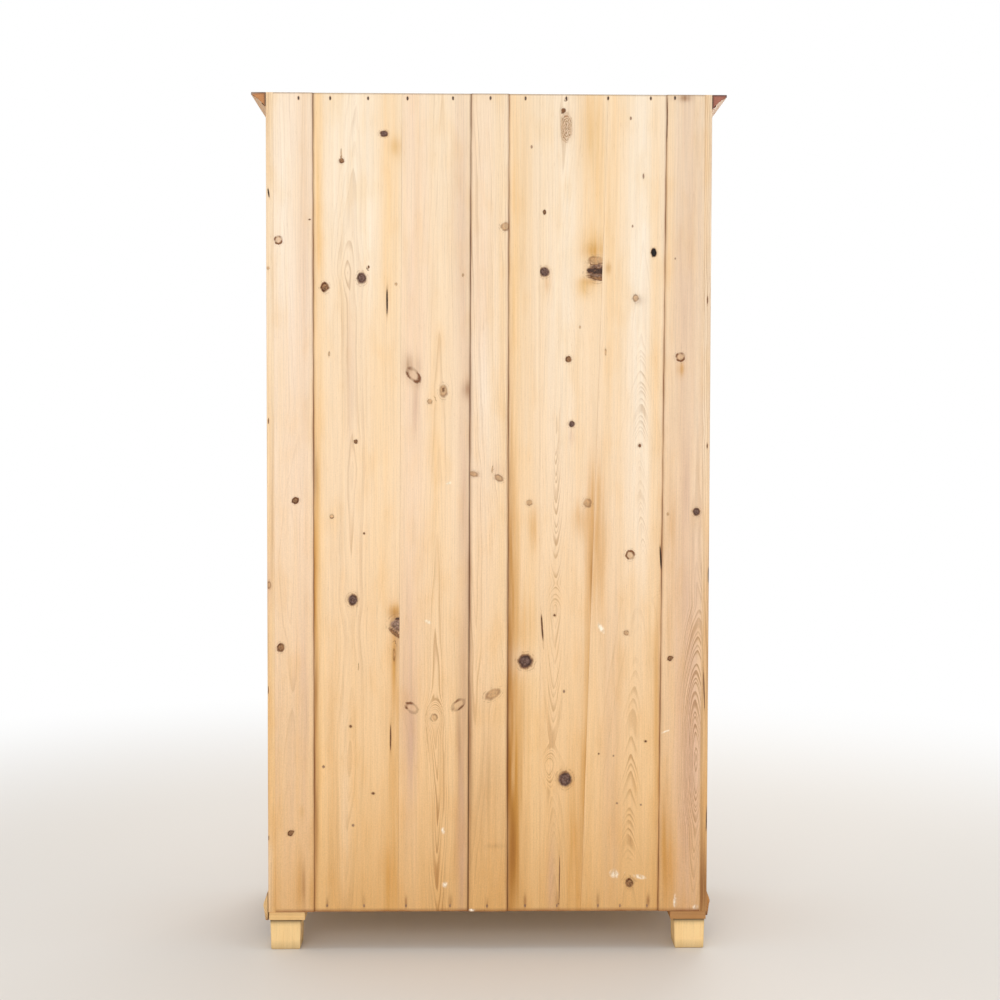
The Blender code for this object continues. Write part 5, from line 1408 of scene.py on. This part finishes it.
def side_board(side, sign):
    """A side: its outline carried upwards, with points along the lip that carry the marks of the back."""
    low, high = corners_of(f"side_{side}")
    outer = sign * max(abs(low[0]), abs(high[0]))
    inner = sign * min(abs(low[0]), abs(high[0]))
    step = outer - sign * LIP_WIDE
    corners = [(inner, low[1]), (outer, low[1]), (outer, high[1]),
               (step, high[1]), (step, REBATE_Y), (inner, REBATE_Y)]
    outline = eased_outline(corners, [SIDE_ARRIS] * 3 + [JOINT_ARRIS] + [SIDE_ARRIS] * 2)
    lip_start = 3 * (CORNER_STEPS + 1)
    lip = np.linspace(outline[lip_start - 1], outline[lip_start], LIP_COLUMNS + 2)[1:-1]
    outline = np.concatenate([outline[:lip_start], lip, outline[lip_start:]])
    rings = np.empty((SIDE_ROWS, len(outline), 3))
    rings[..., :2] = outline[None]
    rings[..., 2] = np.linspace(low[2] + HAIR, high[2] - HAIR, SIDE_ROWS)[:, None]
    x, z = rings[..., 0], rings[..., 2]
    mesh = loft(f"side_{side}", rings)
    rear = np.clip((rings[..., 1] - high[1]) / SIDE_ARRIS + 1, 0, 1)[..., None]
    lip_tone = washed(aged_and_lit_tone(z), WASHES[f"side_{side}"], x, z)
    tone = np.where((np.abs(x - inner) < SIDE_ARRIS)[..., None], RAW, WAXED)
    wood = lip_wood(side, low[:1], high[:1])
    field = knot_field(nails_and_knots(wood), x, z)
    mark_wood(mesh, wood, sign, x, z, tone + rear * (lip_tone - tone), field)
    carry(mesh, "grain", "FLOAT_VECTOR", log_place(rings, "z"))
    add_piece(mesh, OLD_PINE, "carcass", [f"side_{side}"])
    mesh.materials.append(BACK_PINE)
    column = np.arange(len(mesh.polygons)) % len(outline)
    at_lip = (column >= lip_start - 2) & (column <= lip_start + LIP_COLUMNS)
    at_lip[(SIDE_ROWS - 1) * len(outline):] = False
    mesh.polygons.foreach_set("material_index", at_lip.astype(np.int32))


SIDES = {"left": -1, "right": 1}
for side, sign in SIDES.items():
    side_board(side, sign)
print("sides", list(SIDES))

# %% [markdown]
# ## Top, bottom, shelf and front frame
# These are plain planed boards. Tenons and housings are out of sight, so each board stops at the shoulder
# that shows. Only the stop behind the frieze has a pocket, for the slide bolt of the left door.

# %% Plain boards of the carcass
BOLT_LOW, BOLT_HIGH = corners_of("slide_bolt")
BOLT_BAR = 0.005
BOLT_ROOM = 0.0008
POCKET_DEEP = 0.0145
STOP_ABOVE = 0.015
FRIEZE_BASE = 1.790
FRAME_LOW, FRAME_HIGH = corners_of("front_stile_right")
STILE_INNER = FRAME_LOW[0]
FRAME_BACK = FRAME_HIGH[1]


def pocketed(low, high):
    """Loops along x of a rail with a pocket in its lower face. The outline always has a slot in it, which
    is a hair deep but for the stretch where the bolt goes in."""
    near, far = BOLT_LOW[1] - BOLT_ROOM, BOLT_LOW[1] + BOLT_BAR + BOLT_ROOM
    left, right = BOLT_LOW[0] - BOLT_ROOM, BOLT_HIGH[0] + BOLT_ROOM
    depths = (HAIR, HAIR, POCKET_DEEP, POCKET_DEEP, HAIR, HAIR)
    rings = []
    for x, depth in zip((low[0], left - HAIR, left, right, right + HAIR, high[0]), depths):
        slot = ((near, low[2]), (near, low[2] + depth), (far, low[2] + depth), (far, low[2]))
        corners = ((low[1], low[2]), *slot, (high[1], low[2]), (high[1], high[2]), (low[1], high[2]))
        outline = eased_outline(corners, [BOARD_ARRIS] + [HAIR / 4] * 4 + [BOARD_ARRIS] * 3)
        rings.append(np.insert(outline, 0, x, axis=1))
    return np.array(rings)


for name in ("top_board", "bottom_board", "hat_shelf"):
    board(name, *corners_of(name), "x", RAW, finish=RAW_PINE)
for side in SIDES:
    board(f"front_stile_{side}", *corners_of(f"front_stile_{side}"), "z")
low, high = corners_of("bottom_rail")
board("bottom_rail", (-STILE_INNER, low[1], low[2]), (STILE_INNER, high[1], high[2]), "x")
low, high = corners_of("frieze_rail")
board("frieze_rail", (-STILE_INNER, low[1], FRIEZE_BASE), (STILE_INNER, FRAME_BACK, high[2]), "x")
stop = pocketed((-STILE_INNER, FRAME_BACK + HAIR, low[2]), (STILE_INNER, high[1], FRIEZE_BASE + STOP_ABOVE))
wooden("door_stop", stop, "x", RAW, "carcass", ["frieze_rail"], RAW_PINE)
print("plain boards done")

# %% [markdown]
# ## Cornice and base moulding
# A moulding is one profile run along three sides and mitred at the front corners. Every point of the
# profile goes as far past the corner as it stands out from the board, which is what cuts the mitre. The two
# rear ends show in the picture: bare end grain, brown on one side and reddish on the other.

# %% Mouldings
CORNICE_OUT, CORNICE_TALL, CORNICE_FILLET = 0.032, 0.030, 0.005
BASE_OUT, BASE_TALL, BASE_SHOULDER, BASE_TOP = 0.0115, 0.062, 0.038, 0.0026
BASE_NOSE, BASE_BOTTOM = 0.010, 0.0065
MOULDING_GAP = 0.0003
END_GRAIN = 0.004  # how far the bare end's tone reaches
END_FIELD = 0.64  # share of an end that its dark edge leaves
END_TIP = 0.004
END_ARRIS = 0.0004
CORNICE_BEAD, CORNICE_BEAD_OUT, CORNICE_BOW = 0.002, 0.003, 0.0022
CORNICE_EASE, TIP_EASE = 0.0005, 0.0006
BASE_BULGE, BASE_HOLLOW, BASE_EASE = 0.0012, 0.0008, 0.0008
BEVEL_START = 0.15  # share of the bevel that the nose takes
HOLLOW_STEPS, ROUND_STEPS, NOSE_STEPS, BEVEL_STEPS = 17, 7, 11, 9  # points along each curve
Y_FRONT = FRAME_LOW[1]
HALF_WIDTH = corners_of("side_right")[1][0]
End = namedtuple("End", "field edge tip")
# Painted shadow of the gap between a moulding's end and the side.
SEAM_SHADOW_TONE = linear(74, 44, 24)
CORNICE_ENDS = {
    "left": End(linear(168, 104, 86), linear(108, 60, 48), linear(84, 62, 60)),
    "right": End(linear(190, 128, 74), linear(104, 64, 36), linear(140, 134, 130)),
}
BASE_ENDS = {
    "left": End(linear(206, 150, 88), linear(140, 92, 54), linear(196, 150, 100)),
    "right": End(linear(226, 188, 132), linear(176, 132, 84), linear(236, 208, 160)),
}


def cornice_profile():
    """Out from the board and up: a square fillet, a hollow swept as a sine bow, and a bead at the foot."""
    t = np.linspace(0, 1, HOLLOW_STEPS)
    foot_out, foot_up = CORNICE_BEAD_OUT + CORNICE_BEAD, 2 * CORNICE_BEAD - CORNICE_TALL
    hollow_out = foot_out + (CORNICE_OUT - foot_out) * t
    hollow_up = foot_up - (CORNICE_FILLET + foot_up) * t + CORNICE_BOW * np.sin(np.pi * t)
    turn = np.linspace(-np.pi / 2, np.pi / 2, ROUND_STEPS)[:-1]
    bead_out = CORNICE_BEAD_OUT + CORNICE_BEAD * np.cos(turn)
    bead_up = CORNICE_BEAD * (1 + np.sin(turn)) - CORNICE_TALL
    board_side = np.array([[MOULDING_GAP, 0], [MOULDING_GAP, -CORNICE_TALL]])
    bead, hollow = np.stack([bead_out, bead_up], -1), np.stack([hollow_out, hollow_up], -1)
    fillet = np.array([[CORNICE_OUT, CORNICE_EASE - CORNICE_FILLET], [CORNICE_OUT, -TIP_EASE],
                       [CORNICE_OUT - TIP_EASE, 0]])
    return np.concatenate([board_side, bead, hollow, fillet])


def base_profile():
    """Out and up: a slope from the foot, half an ellipse for the nose, and a slightly hollow bevel."""
    turn = np.linspace(-np.pi / 2, np.pi / 2, NOSE_STEPS)
    nose_out = BASE_OUT - BASE_BULGE + BASE_BULGE * np.cos(turn)
    nose_up = BASE_SHOULDER + BASE_NOSE / 2 * (np.sin(turn) - 1)
    t = np.linspace(BEVEL_START, 1, BEVEL_STEPS)
    bevel_out = BASE_OUT + (BASE_TOP - BASE_OUT) * t - BASE_HOLLOW * np.sin(np.pi * t)
    bevel_up = BASE_SHOULDER + (BASE_TALL - BASE_SHOULDER) * t
    foot = np.array([[MOULDING_GAP, 0.0], [BASE_BOTTOM - BASE_EASE, 0.0], [BASE_BOTTOM, BASE_EASE]])
    top = np.array([[MOULDING_GAP, BASE_TALL]])
    nose, bevel = np.stack([nose_out, nose_up], -1), np.stack([bevel_out, bevel_up], -1)
    return np.concatenate([foot, nose, bevel, top])


def front_run(profile, z):
    """Two loops, one at each mitre: x is plus or minus the half width and each point's own reach."""
    out, up = profile.T
    half = HALF_WIDTH - MOULDING_GAP + out
    return np.array([np.stack([sign * half, Y_FRONT - out, z + up], -1) for sign in (-1, 1)])


def side_run(profile, z, sign, y_end):
    """Loops from the mitre at the front to the square end at the back, and one more, drawn in on that end,
    where the tone of the edge turns into that of the end grain."""
    drawn_in = profile.mean(0) + END_FIELD * (profile - profile.mean(0))
    mitre = Y_FRONT + MOULDING_GAP - profile[:, 0]
    places = (mitre, y_end - END_GRAIN, y_end - END_ARRIS, y_end, y_end)
    rings = np.empty((len(places), len(profile), 3))
    for ring, shape, y in zip(rings, [profile] * 4 + [drawn_in], places):
        ring[:, 0] = sign * (HALF_WIDTH + shape[:, 0])
        ring[:, 1] = y
        ring[:, 2] = z + shape[:, 1]
    return rings


def end_tones(profile, tone, end):
    """Tones for the loops of a return: its own along the run, dark at the edge of the end, darkest in the
    seam at the side, where a painted shadow of the gap lies, greyer at the tip, and the end grain's inside."""
    tip = (profile[:, :1] > profile[:, 0].max() - END_TIP) * 1.0
    seam = (profile[:, :1] <= MOULDING_GAP) * 1.0
    edge = end.edge + tip * (end.tip - end.edge) + seam * (SEAM_SHADOW_TONE - end.edge)
    along, field = np.broadcast_to(tone, edge.shape), np.broadcast_to(end.field, edge.shape)
    return np.array([along, along, edge, edge, field])


def run_moulding(name, profile, z, ends):
    """The front run of a moulding and its two returns, whose rear ends have tones of their own."""
    wooden(f"{name}_front", front_run(profile, z), "x", WAXED, "carcass", [f"{name}_front"])
    for side, sign in SIDES.items():
        rings = side_run(profile, z, sign, corners_of(f"{name}_{side}")[1][1])
        tone = end_tones(profile, WAXED, ends[side])
        wooden(f"{name}_{side}", rings, "y", tone, "carcass", [f"{name}_{side}"])


run_moulding("cornice", cornice_profile(), corners_of("cornice_front")[1][2], CORNICE_ENDS)
run_moulding("base_moulding", base_profile(), corners_of("base_moulding_front")[0][2], BASE_ENDS)
print("mouldings done")

# %% [markdown]
# ## Feet
# Later feet of new pine: a thin plate under each corner and a short block below it, a little narrower at
# the floor. A tapered loop with well rounded corners is all they need.

# %% Plates and blocks
FOOT_ARRIS = 0.003
FOOT_TAPER = 0.002
FOOT_TONE = linear(252, 216, 156)
FOOT_LOOPS = np.array([0.3, 0.6, 0.8, 0.88, 0.94, 0.98])  # shares of the height
PLATE_SHADOW_REACH = 0.0075  # how far the painted shadow under the plate reaches down
# How dark the painted shadow under the plate is.
PLATE_SHADOW_DARKNESS = 0.85
FLOOR_DIRT = 0.72  # what dirt leaves of the tone at the floor
PLATE_ARRIS = 0.0012
PLATE_TONES = {"left": linear(182, 134, 84), "right": linear(238, 198, 138)}
FOOT_PINE = board_finish("foot_pine", roughness=RAW_ROUGH, figure=0.2, specular=RAW_SPECULAR)


def build_foot(end, side):
    """A block that narrows to the floor, dirty there, with a painted shadow under its plate, and the plate.
    """
    name, plate = f"foot_{end}_{side}", f"foot_plate_{end}_{side}"
    low, high = corners_of(name)
    lower, upper = np.split(rounded_block(low, high, "z", FOOT_ARRIS, FOOT_TAPER), 2)
    shaft = lower[-1] + (upper[0] - lower[-1]) * FOOT_LOOPS[:, None, None]
    rings = np.concatenate([lower, shaft, upper])
    z = rings[..., 2:]
    dirt_and_shadow = np.where(z < FOOT_ARRIS, FLOOR_DIRT, 1.0)
    # painted shadow of the plate on the top of the block
    dirt_and_shadow = dirt_and_shadow * (1 - PLATE_SHADOW_DARKNESS * np.exp(-((high[2] - z) / PLATE_SHADOW_REACH) ** 2))
    wooden(name, rings, "z", FOOT_TONE * dirt_and_shadow, "carcass", [name], FOOT_PINE)
    board(plate, *corners_of(plate), "x", PLATE_TONES[side], finish=RAW_PINE, arris=PLATE_ARRIS)


for end in ("front", "rear"):
    for side in SIDES:
        build_foot(end, side)
print("feet", 4)

# %% [markdown]
# ## Doors
# Each door is two stiles, three rails and two fielded panels. A panel's raised field is a set of nested
# rectangles at different heights, so it is a loop of four corners that shrinks as it rises. A small
# quarter-round bead runs round each opening, as a profile carried round four mitred corners.

# %% Stiles, rails and panels
PANEL_EDGE = 0.006
PANEL_SLOPE = 0.036
SLOPE_RISE = 0.003
FIELD_RISE = 0.005
BEAD_WIDTH = 0.007
BEAD_SET = 0.0008  # how far the bead stays behind the frame's face
BEAD_SHADE = 0.93
BEAD_STEPS = 7
EDGE_IN, EDGE_DOWN = 0.0006, 0.0005  # easing of a panel's edge
STEP_EASE, FIELD_EASE = 0.0008, 0.0003


def nested(low, high, insets, heights, back):
    """Rectangles drawn in by each inset at each height in front of the back plane, as loops towards -Y."""
    insets, heights = np.array(insets)[:, None], np.array(heights)[:, None]
    x = np.where(np.array([0, 1, 1, 0])[None, :] > 0, high[0] - insets, low[0] + insets)
    z = np.where(np.array([0, 0, 1, 1])[None, :] > 0, high[2] - insets, low[2] + insets)
    return np.stack([x, np.broadcast_to(back - heights, x.shape), z], -1)


def fielded_panel(name, body):
    """A panel with a sloping margin, a small step with eased edges, and a flat field."""
    low, high = corners_of(name)
    slope, foot, top = PANEL_SLOPE, PANEL_EDGE + SLOPE_RISE, PANEL_EDGE + FIELD_RISE
    insets = (0, 0, EDGE_IN, slope - STEP_EASE, slope, slope + STEP_EASE, slope + 2 * STEP_EASE)
    rises = (0, PANEL_EDGE - EDGE_DOWN, PANEL_EDGE, foot, foot + STEP_EASE, top - FIELD_EASE, top)
    wooden(name, nested(low, high, insets, rises, high[1]), "z", WAXED, body, [name])


def opening_bead(name, x_span, z_span, face, back, body):
    """A quarter round in the corner between frame and panel, carried round the opening with mitres."""
    turn = np.linspace(0, np.pi / 2, BEAD_STEPS)
    inset = np.concatenate([[0.0], BEAD_WIDTH * np.sin(turn)])
    height = np.concatenate([[0.0], (back - face) * np.cos(turn)])
    height[-1] = 0.0
    corners = nested((x_span[0], 0, z_span[0]), (x_span[1], 0, z_span[1]), inset, height, back)
    rings = np.swapaxes(corners, 0, 1)
    mesh = put_mesh(name, rings.reshape(-1, 3), loft_faces(4, len(inset), closed=True))
    carry(mesh, "grain", "FLOAT_VECTOR", log_place(rings, "z"))
    carry(mesh, "tone", "FLOAT_COLOR", np.broadcast_to(WAXED * BEAD_SHADE, rings.shape))
    add_piece(mesh, OLD_PINE, body)


def build_door(side, sign):
    """Stiles, rails, panels and beads of a door. Rails and beads reach from one stile to the other."""
    body = f"door_{side}"
    hinge_low, hinge_high = corners_of(f"{body}_hinge_stile")
    meet_low, meet_high = corners_of(f"{body}_meeting_stile")
    board(f"{body}_hinge_stile", hinge_low + [HAIR, 0, 0], hinge_high - [HAIR, 0, 0], "z", body=body)
    board(f"{body}_meeting_stile", meet_low, meet_high, "z", body=body)
    span = (meet_high[0], hinge_low[0]) if sign > 0 else (hinge_high[0], meet_low[0])
    rails = {}
    for rail in ("bottom_rail", "middle_rail", "top_rail"):
        low, high = corners_of(f"{body}_{rail}")
        rails[rail] = (low[2], high[2])
        board(f"{body}_{rail}", (span[0], low[1], low[2]), (span[1], high[1], high[2]), "x", body=body)
    openings = {"lower_panel": (rails["bottom_rail"][1], rails["middle_rail"][0]),
                "upper_panel": (rails["middle_rail"][1], rails["top_rail"][0])}
    for panel, z_span in openings.items():
        fielded_panel(f"{body}_{panel}", body)
        face, back = hinge_low[1] + BEAD_SET, corners_of(f"{body}_{panel}")[1][1] - PANEL_EDGE
        opening_bead(f"{body}_{panel}_bead", span, z_span, face, back, body)


for side, sign in SIDES.items():
    build_door(side, sign)
print("doors done")

# %% [markdown]
# ## Meeting bead and hanging rail
# The bead that covers the gap between the doors is half a round rod, and the hanging rail is a whole one.
# Both are turned profiles drawn out straight, so one function of an angle and a length makes each.

# %% Rounds
HALF_STEPS, ROD_STEPS = 17, 48
BEAD_TIP, BEAD_DRAW = 0.0008, 0.94  # length of the drawn-in tip and its size
ROD_TIP, ROD_DRAW = 0.001, 0.92
MEETING_SHADE = 0.96


def tipped(low, high, tip, draw):
    """Four places along a rod and the size at each, with both ends drawn in."""
    return np.array([low, low + tip, high - tip, high])[:, None], np.array([draw, 1.0, 1.0, draw])[:, None]


def half_round_rings(low, high):
    """A flat back at the high y, and half an ellipse in front of it; the ends are drawn in a little."""
    turn = np.linspace(0, np.pi, HALF_STEPS)
    z, size = tipped(low[2], high[2], BEAD_TIP, BEAD_DRAW)
    x = (low[0] + high[0]) / 2 + size * (high[0] - low[0]) / 2 * np.cos(turn)
    y = high[1] - size * (high[1] - low[1]) * np.sin(turn)
    return np.stack([x, y, np.broadcast_to(z, x.shape)], -1)


def rod_rings(low, high):
    """Circles round the x axis, drawn in at the two ends."""
    turn = np.linspace(0, 2 * np.pi, ROD_STEPS, endpoint=False)
    x, size = tipped(low[0], high[0], ROD_TIP, ROD_DRAW)
    radius = size * (high[2] - low[2]) / 2
    y = (low[1] + high[1]) / 2 + radius * np.cos(turn)
    z = (low[2] + high[2]) / 2 + radius * np.sin(turn)
    return np.stack([np.broadcast_to(x, y.shape), y, z], -1)


bead, rail = half_round_rings(*corners_of("meeting_bead")), rod_rings(*corners_of("hanging_rail"))
wooden("meeting_bead", bead, "z", WAXED * MEETING_SHADE, "door_right", ["meeting_bead"])
wooden("hanging_rail", rail, "x", RAW, "carcass", ["hanging_rail"], RAW_PINE)
print("rounds done")

# %% [markdown]
# ## Metal
# The hinges, the lock and the bolts are old iron, blackened and a little rusty; the escutcheon and the key
# are brass gone brown. Their solids have the right shape, so they stay and only get a finish: a bright and
# a dull tone, mixed by noise. The two wooden sockets of the hanging rail stay as well.

# %% Iron and brass
COARSE, FINE, FINER = 0.7, 0.3, 6  # shares of two noises, and how much finer the second is
WORN_EDGE, METAL_DENT = (0.38, 0.62), (0.25, 0.0003)
SHINE, SHINE_LOSS, DULL_ROUGH = 0.95, 0.35, 0.25
BAND_EDGE, BAND_SHADE = (0.4, 0.62), 0.6
SOLID_LEAST, SOLID_SPAN = 0.92, 0.16
SOLID_FIBRES = (420, 420, 10)  # bumps to a metre across, through and along the grain
SOLID_BANDS = (110, 110, 4)


def two_tones(factor, first, second):
    """A mix of two fixed tones."""
    colours = {0: factor, 6: (*first, 1), 7: (*second, 1)}
    return factor.node("ShaderNodeMix", {"data_type": "RGBA"}, colours, 2)


def metal_finish(name, bright, dull, scale, rough):
    """Two tones of a metal, mixed by noise at two sizes, with the dull one rougher and less metallic."""
    material, wire, sockets = new_finish(name, {})
    place = place_in_piece(wire).scaled(scale, scale, scale)
    worn = place.noise(4.0) * COARSE + place.scaled(FINER, FINER, FINER).noise(2.0) * FINE
    worn = worn.step(*WORN_EDGE)
    two_tones(worn, bright, dull).into(sockets["Base Color"])
    (SHINE - worn * SHINE_LOSS).into(sockets["Metallic"])
    (rough + worn * DULL_ROUGH).into(sockets["Roughness"])
    bump_into(sockets, worn, *METAL_DENT)
    return material


IRON = metal_finish("old_iron", linear(112, 106, 100), linear(78, 56, 44), 140, 0.38)
BRASS = metal_finish("brown_brass", linear(206, 164, 92), linear(134, 98, 56), 160, 0.28)


def solid_wood_finish(name, tone):
    """Raw pine for a solid that stays: fibres stretched along Z in the object's own coordinates."""
    material, wire, sockets = new_finish(name, {"Roughness": RAW_ROUGH, "Specular IOR Level": RAW_SPECULAR})
    place = place_in_piece(wire)
    fibre = place.scaled(*SOLID_FIBRES).noise(3.0)
    band = place.scaled(*SOLID_BANDS).noise(2.0).step(*BAND_EDGE)
    colour = two_tones(band * BAND_SHADE, tone, tone * LATE_WOOD[:3])
    colour.lighter(SOLID_LEAST + fibre * SOLID_SPAN).into(sockets["Base Color"])
    bump_into(sockets, fibre, *BOARD_DENT)
    return material


SOCKET_PINE = solid_wood_finish("socket_pine", RAW)
FINISHES = {  # by the first word of a solid's name
    **dict.fromkeys(("hinge", "lock", "bolt", "slide"), IRON),
    **dict.fromkeys(("escutcheon", "key"), BRASS),
    "rail": SOCKET_PINE,
}
for name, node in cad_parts.items():
    if not node.hide_render:
        finish = FINISHES[name.split("_")[0]]
        node.data.materials.clear()
        node.data.materials.append(finish)
        print(name, "in", finish.name)

# %% [markdown]
# ## Nails and screws
# The back is nailed to the top and bottom boards, and the nails show as dark spots in two rows. Each head
# is a small dome: a quarter of a circle turned about its axis. All nails are one mesh, made at once from
# the list of their places, and so are the four screws of the lock case.

# %% Nail and screw heads
HEAD_TURNS = 12
HEAD_RINGS = 4
HEAD_TIP = 0.08  # share of the radius where a head is closed
NAIL_RADIUS, NAIL_LIFT, NAIL_SUNK = 0.0015, 0.0004, 0.0007
SCREW_RADIUS, SCREW_LIFT, SCREW_INSET = 0.0026, 0.0009, 0.005


def dome_heads(name, places, radius, height, body):
    """Iron domes at many places of a face that looks along +Y: radius times the sine and height times the
    cosine of an angle from a quarter turn to 0, turned about Y, then closed underneath and at the tip."""
    rise = np.linspace(np.pi / 2, 0, HEAD_RINGS)[:, None]
    turn = np.linspace(0, 2 * np.pi, HEAD_TURNS, endpoint=False)
    reach = radius * np.maximum(np.sin(rise), HEAD_TIP)
    lift = np.broadcast_to(height * np.cos(rise), (HEAD_RINGS, HEAD_TURNS))
    dome = np.stack([reach * np.cos(turn), lift, -reach * np.sin(turn)], -1)
    points = np.array(places)[:, None, None] + dome
    starts = np.arange(len(places)) * HEAD_RINGS * HEAD_TURNS
    quads = (starts[:, None, None] + loft_faces(HEAD_RINGS, HEAD_TURNS)).reshape(-1, 4)
    base = np.arange(HEAD_TURNS)
    tip = base + (HEAD_RINGS - 1) * HEAD_TURNS
    caps = [cap + start for start in starts for cap in (base[::-1], tip)]
    add_piece(put_mesh(name, points.reshape(-1, 3), quads, caps), IRON, body)


nail_x, nail_z = on_back(*np.array(NAILS).T)
proud = (np.abs(nail_x) < MUNTIN_HIGH[0]) | (nail_x > STILE_LOW[0]) | (nail_x < lean_edge[1])
nail_y = np.where(proud, Y_BACK, PANEL_HIGH[1]) - NAIL_SUNK
dome_heads("back_nails", np.stack([nail_x, nail_y, nail_z], -1), NAIL_RADIUS, NAIL_LIFT, "carcass")
case_low, case_high = corners_of("lock_case")
low, high = case_low + SCREW_INSET, case_high - SCREW_INSET
spots = [(x, case_high[1], z) for x in (low[0], high[0]) for z in (low[2], high[2])]
dome_heads("lock_screws", spots, SCREW_RADIUS, SCREW_LIFT, "door_right")
print("nails", len(NAILS))
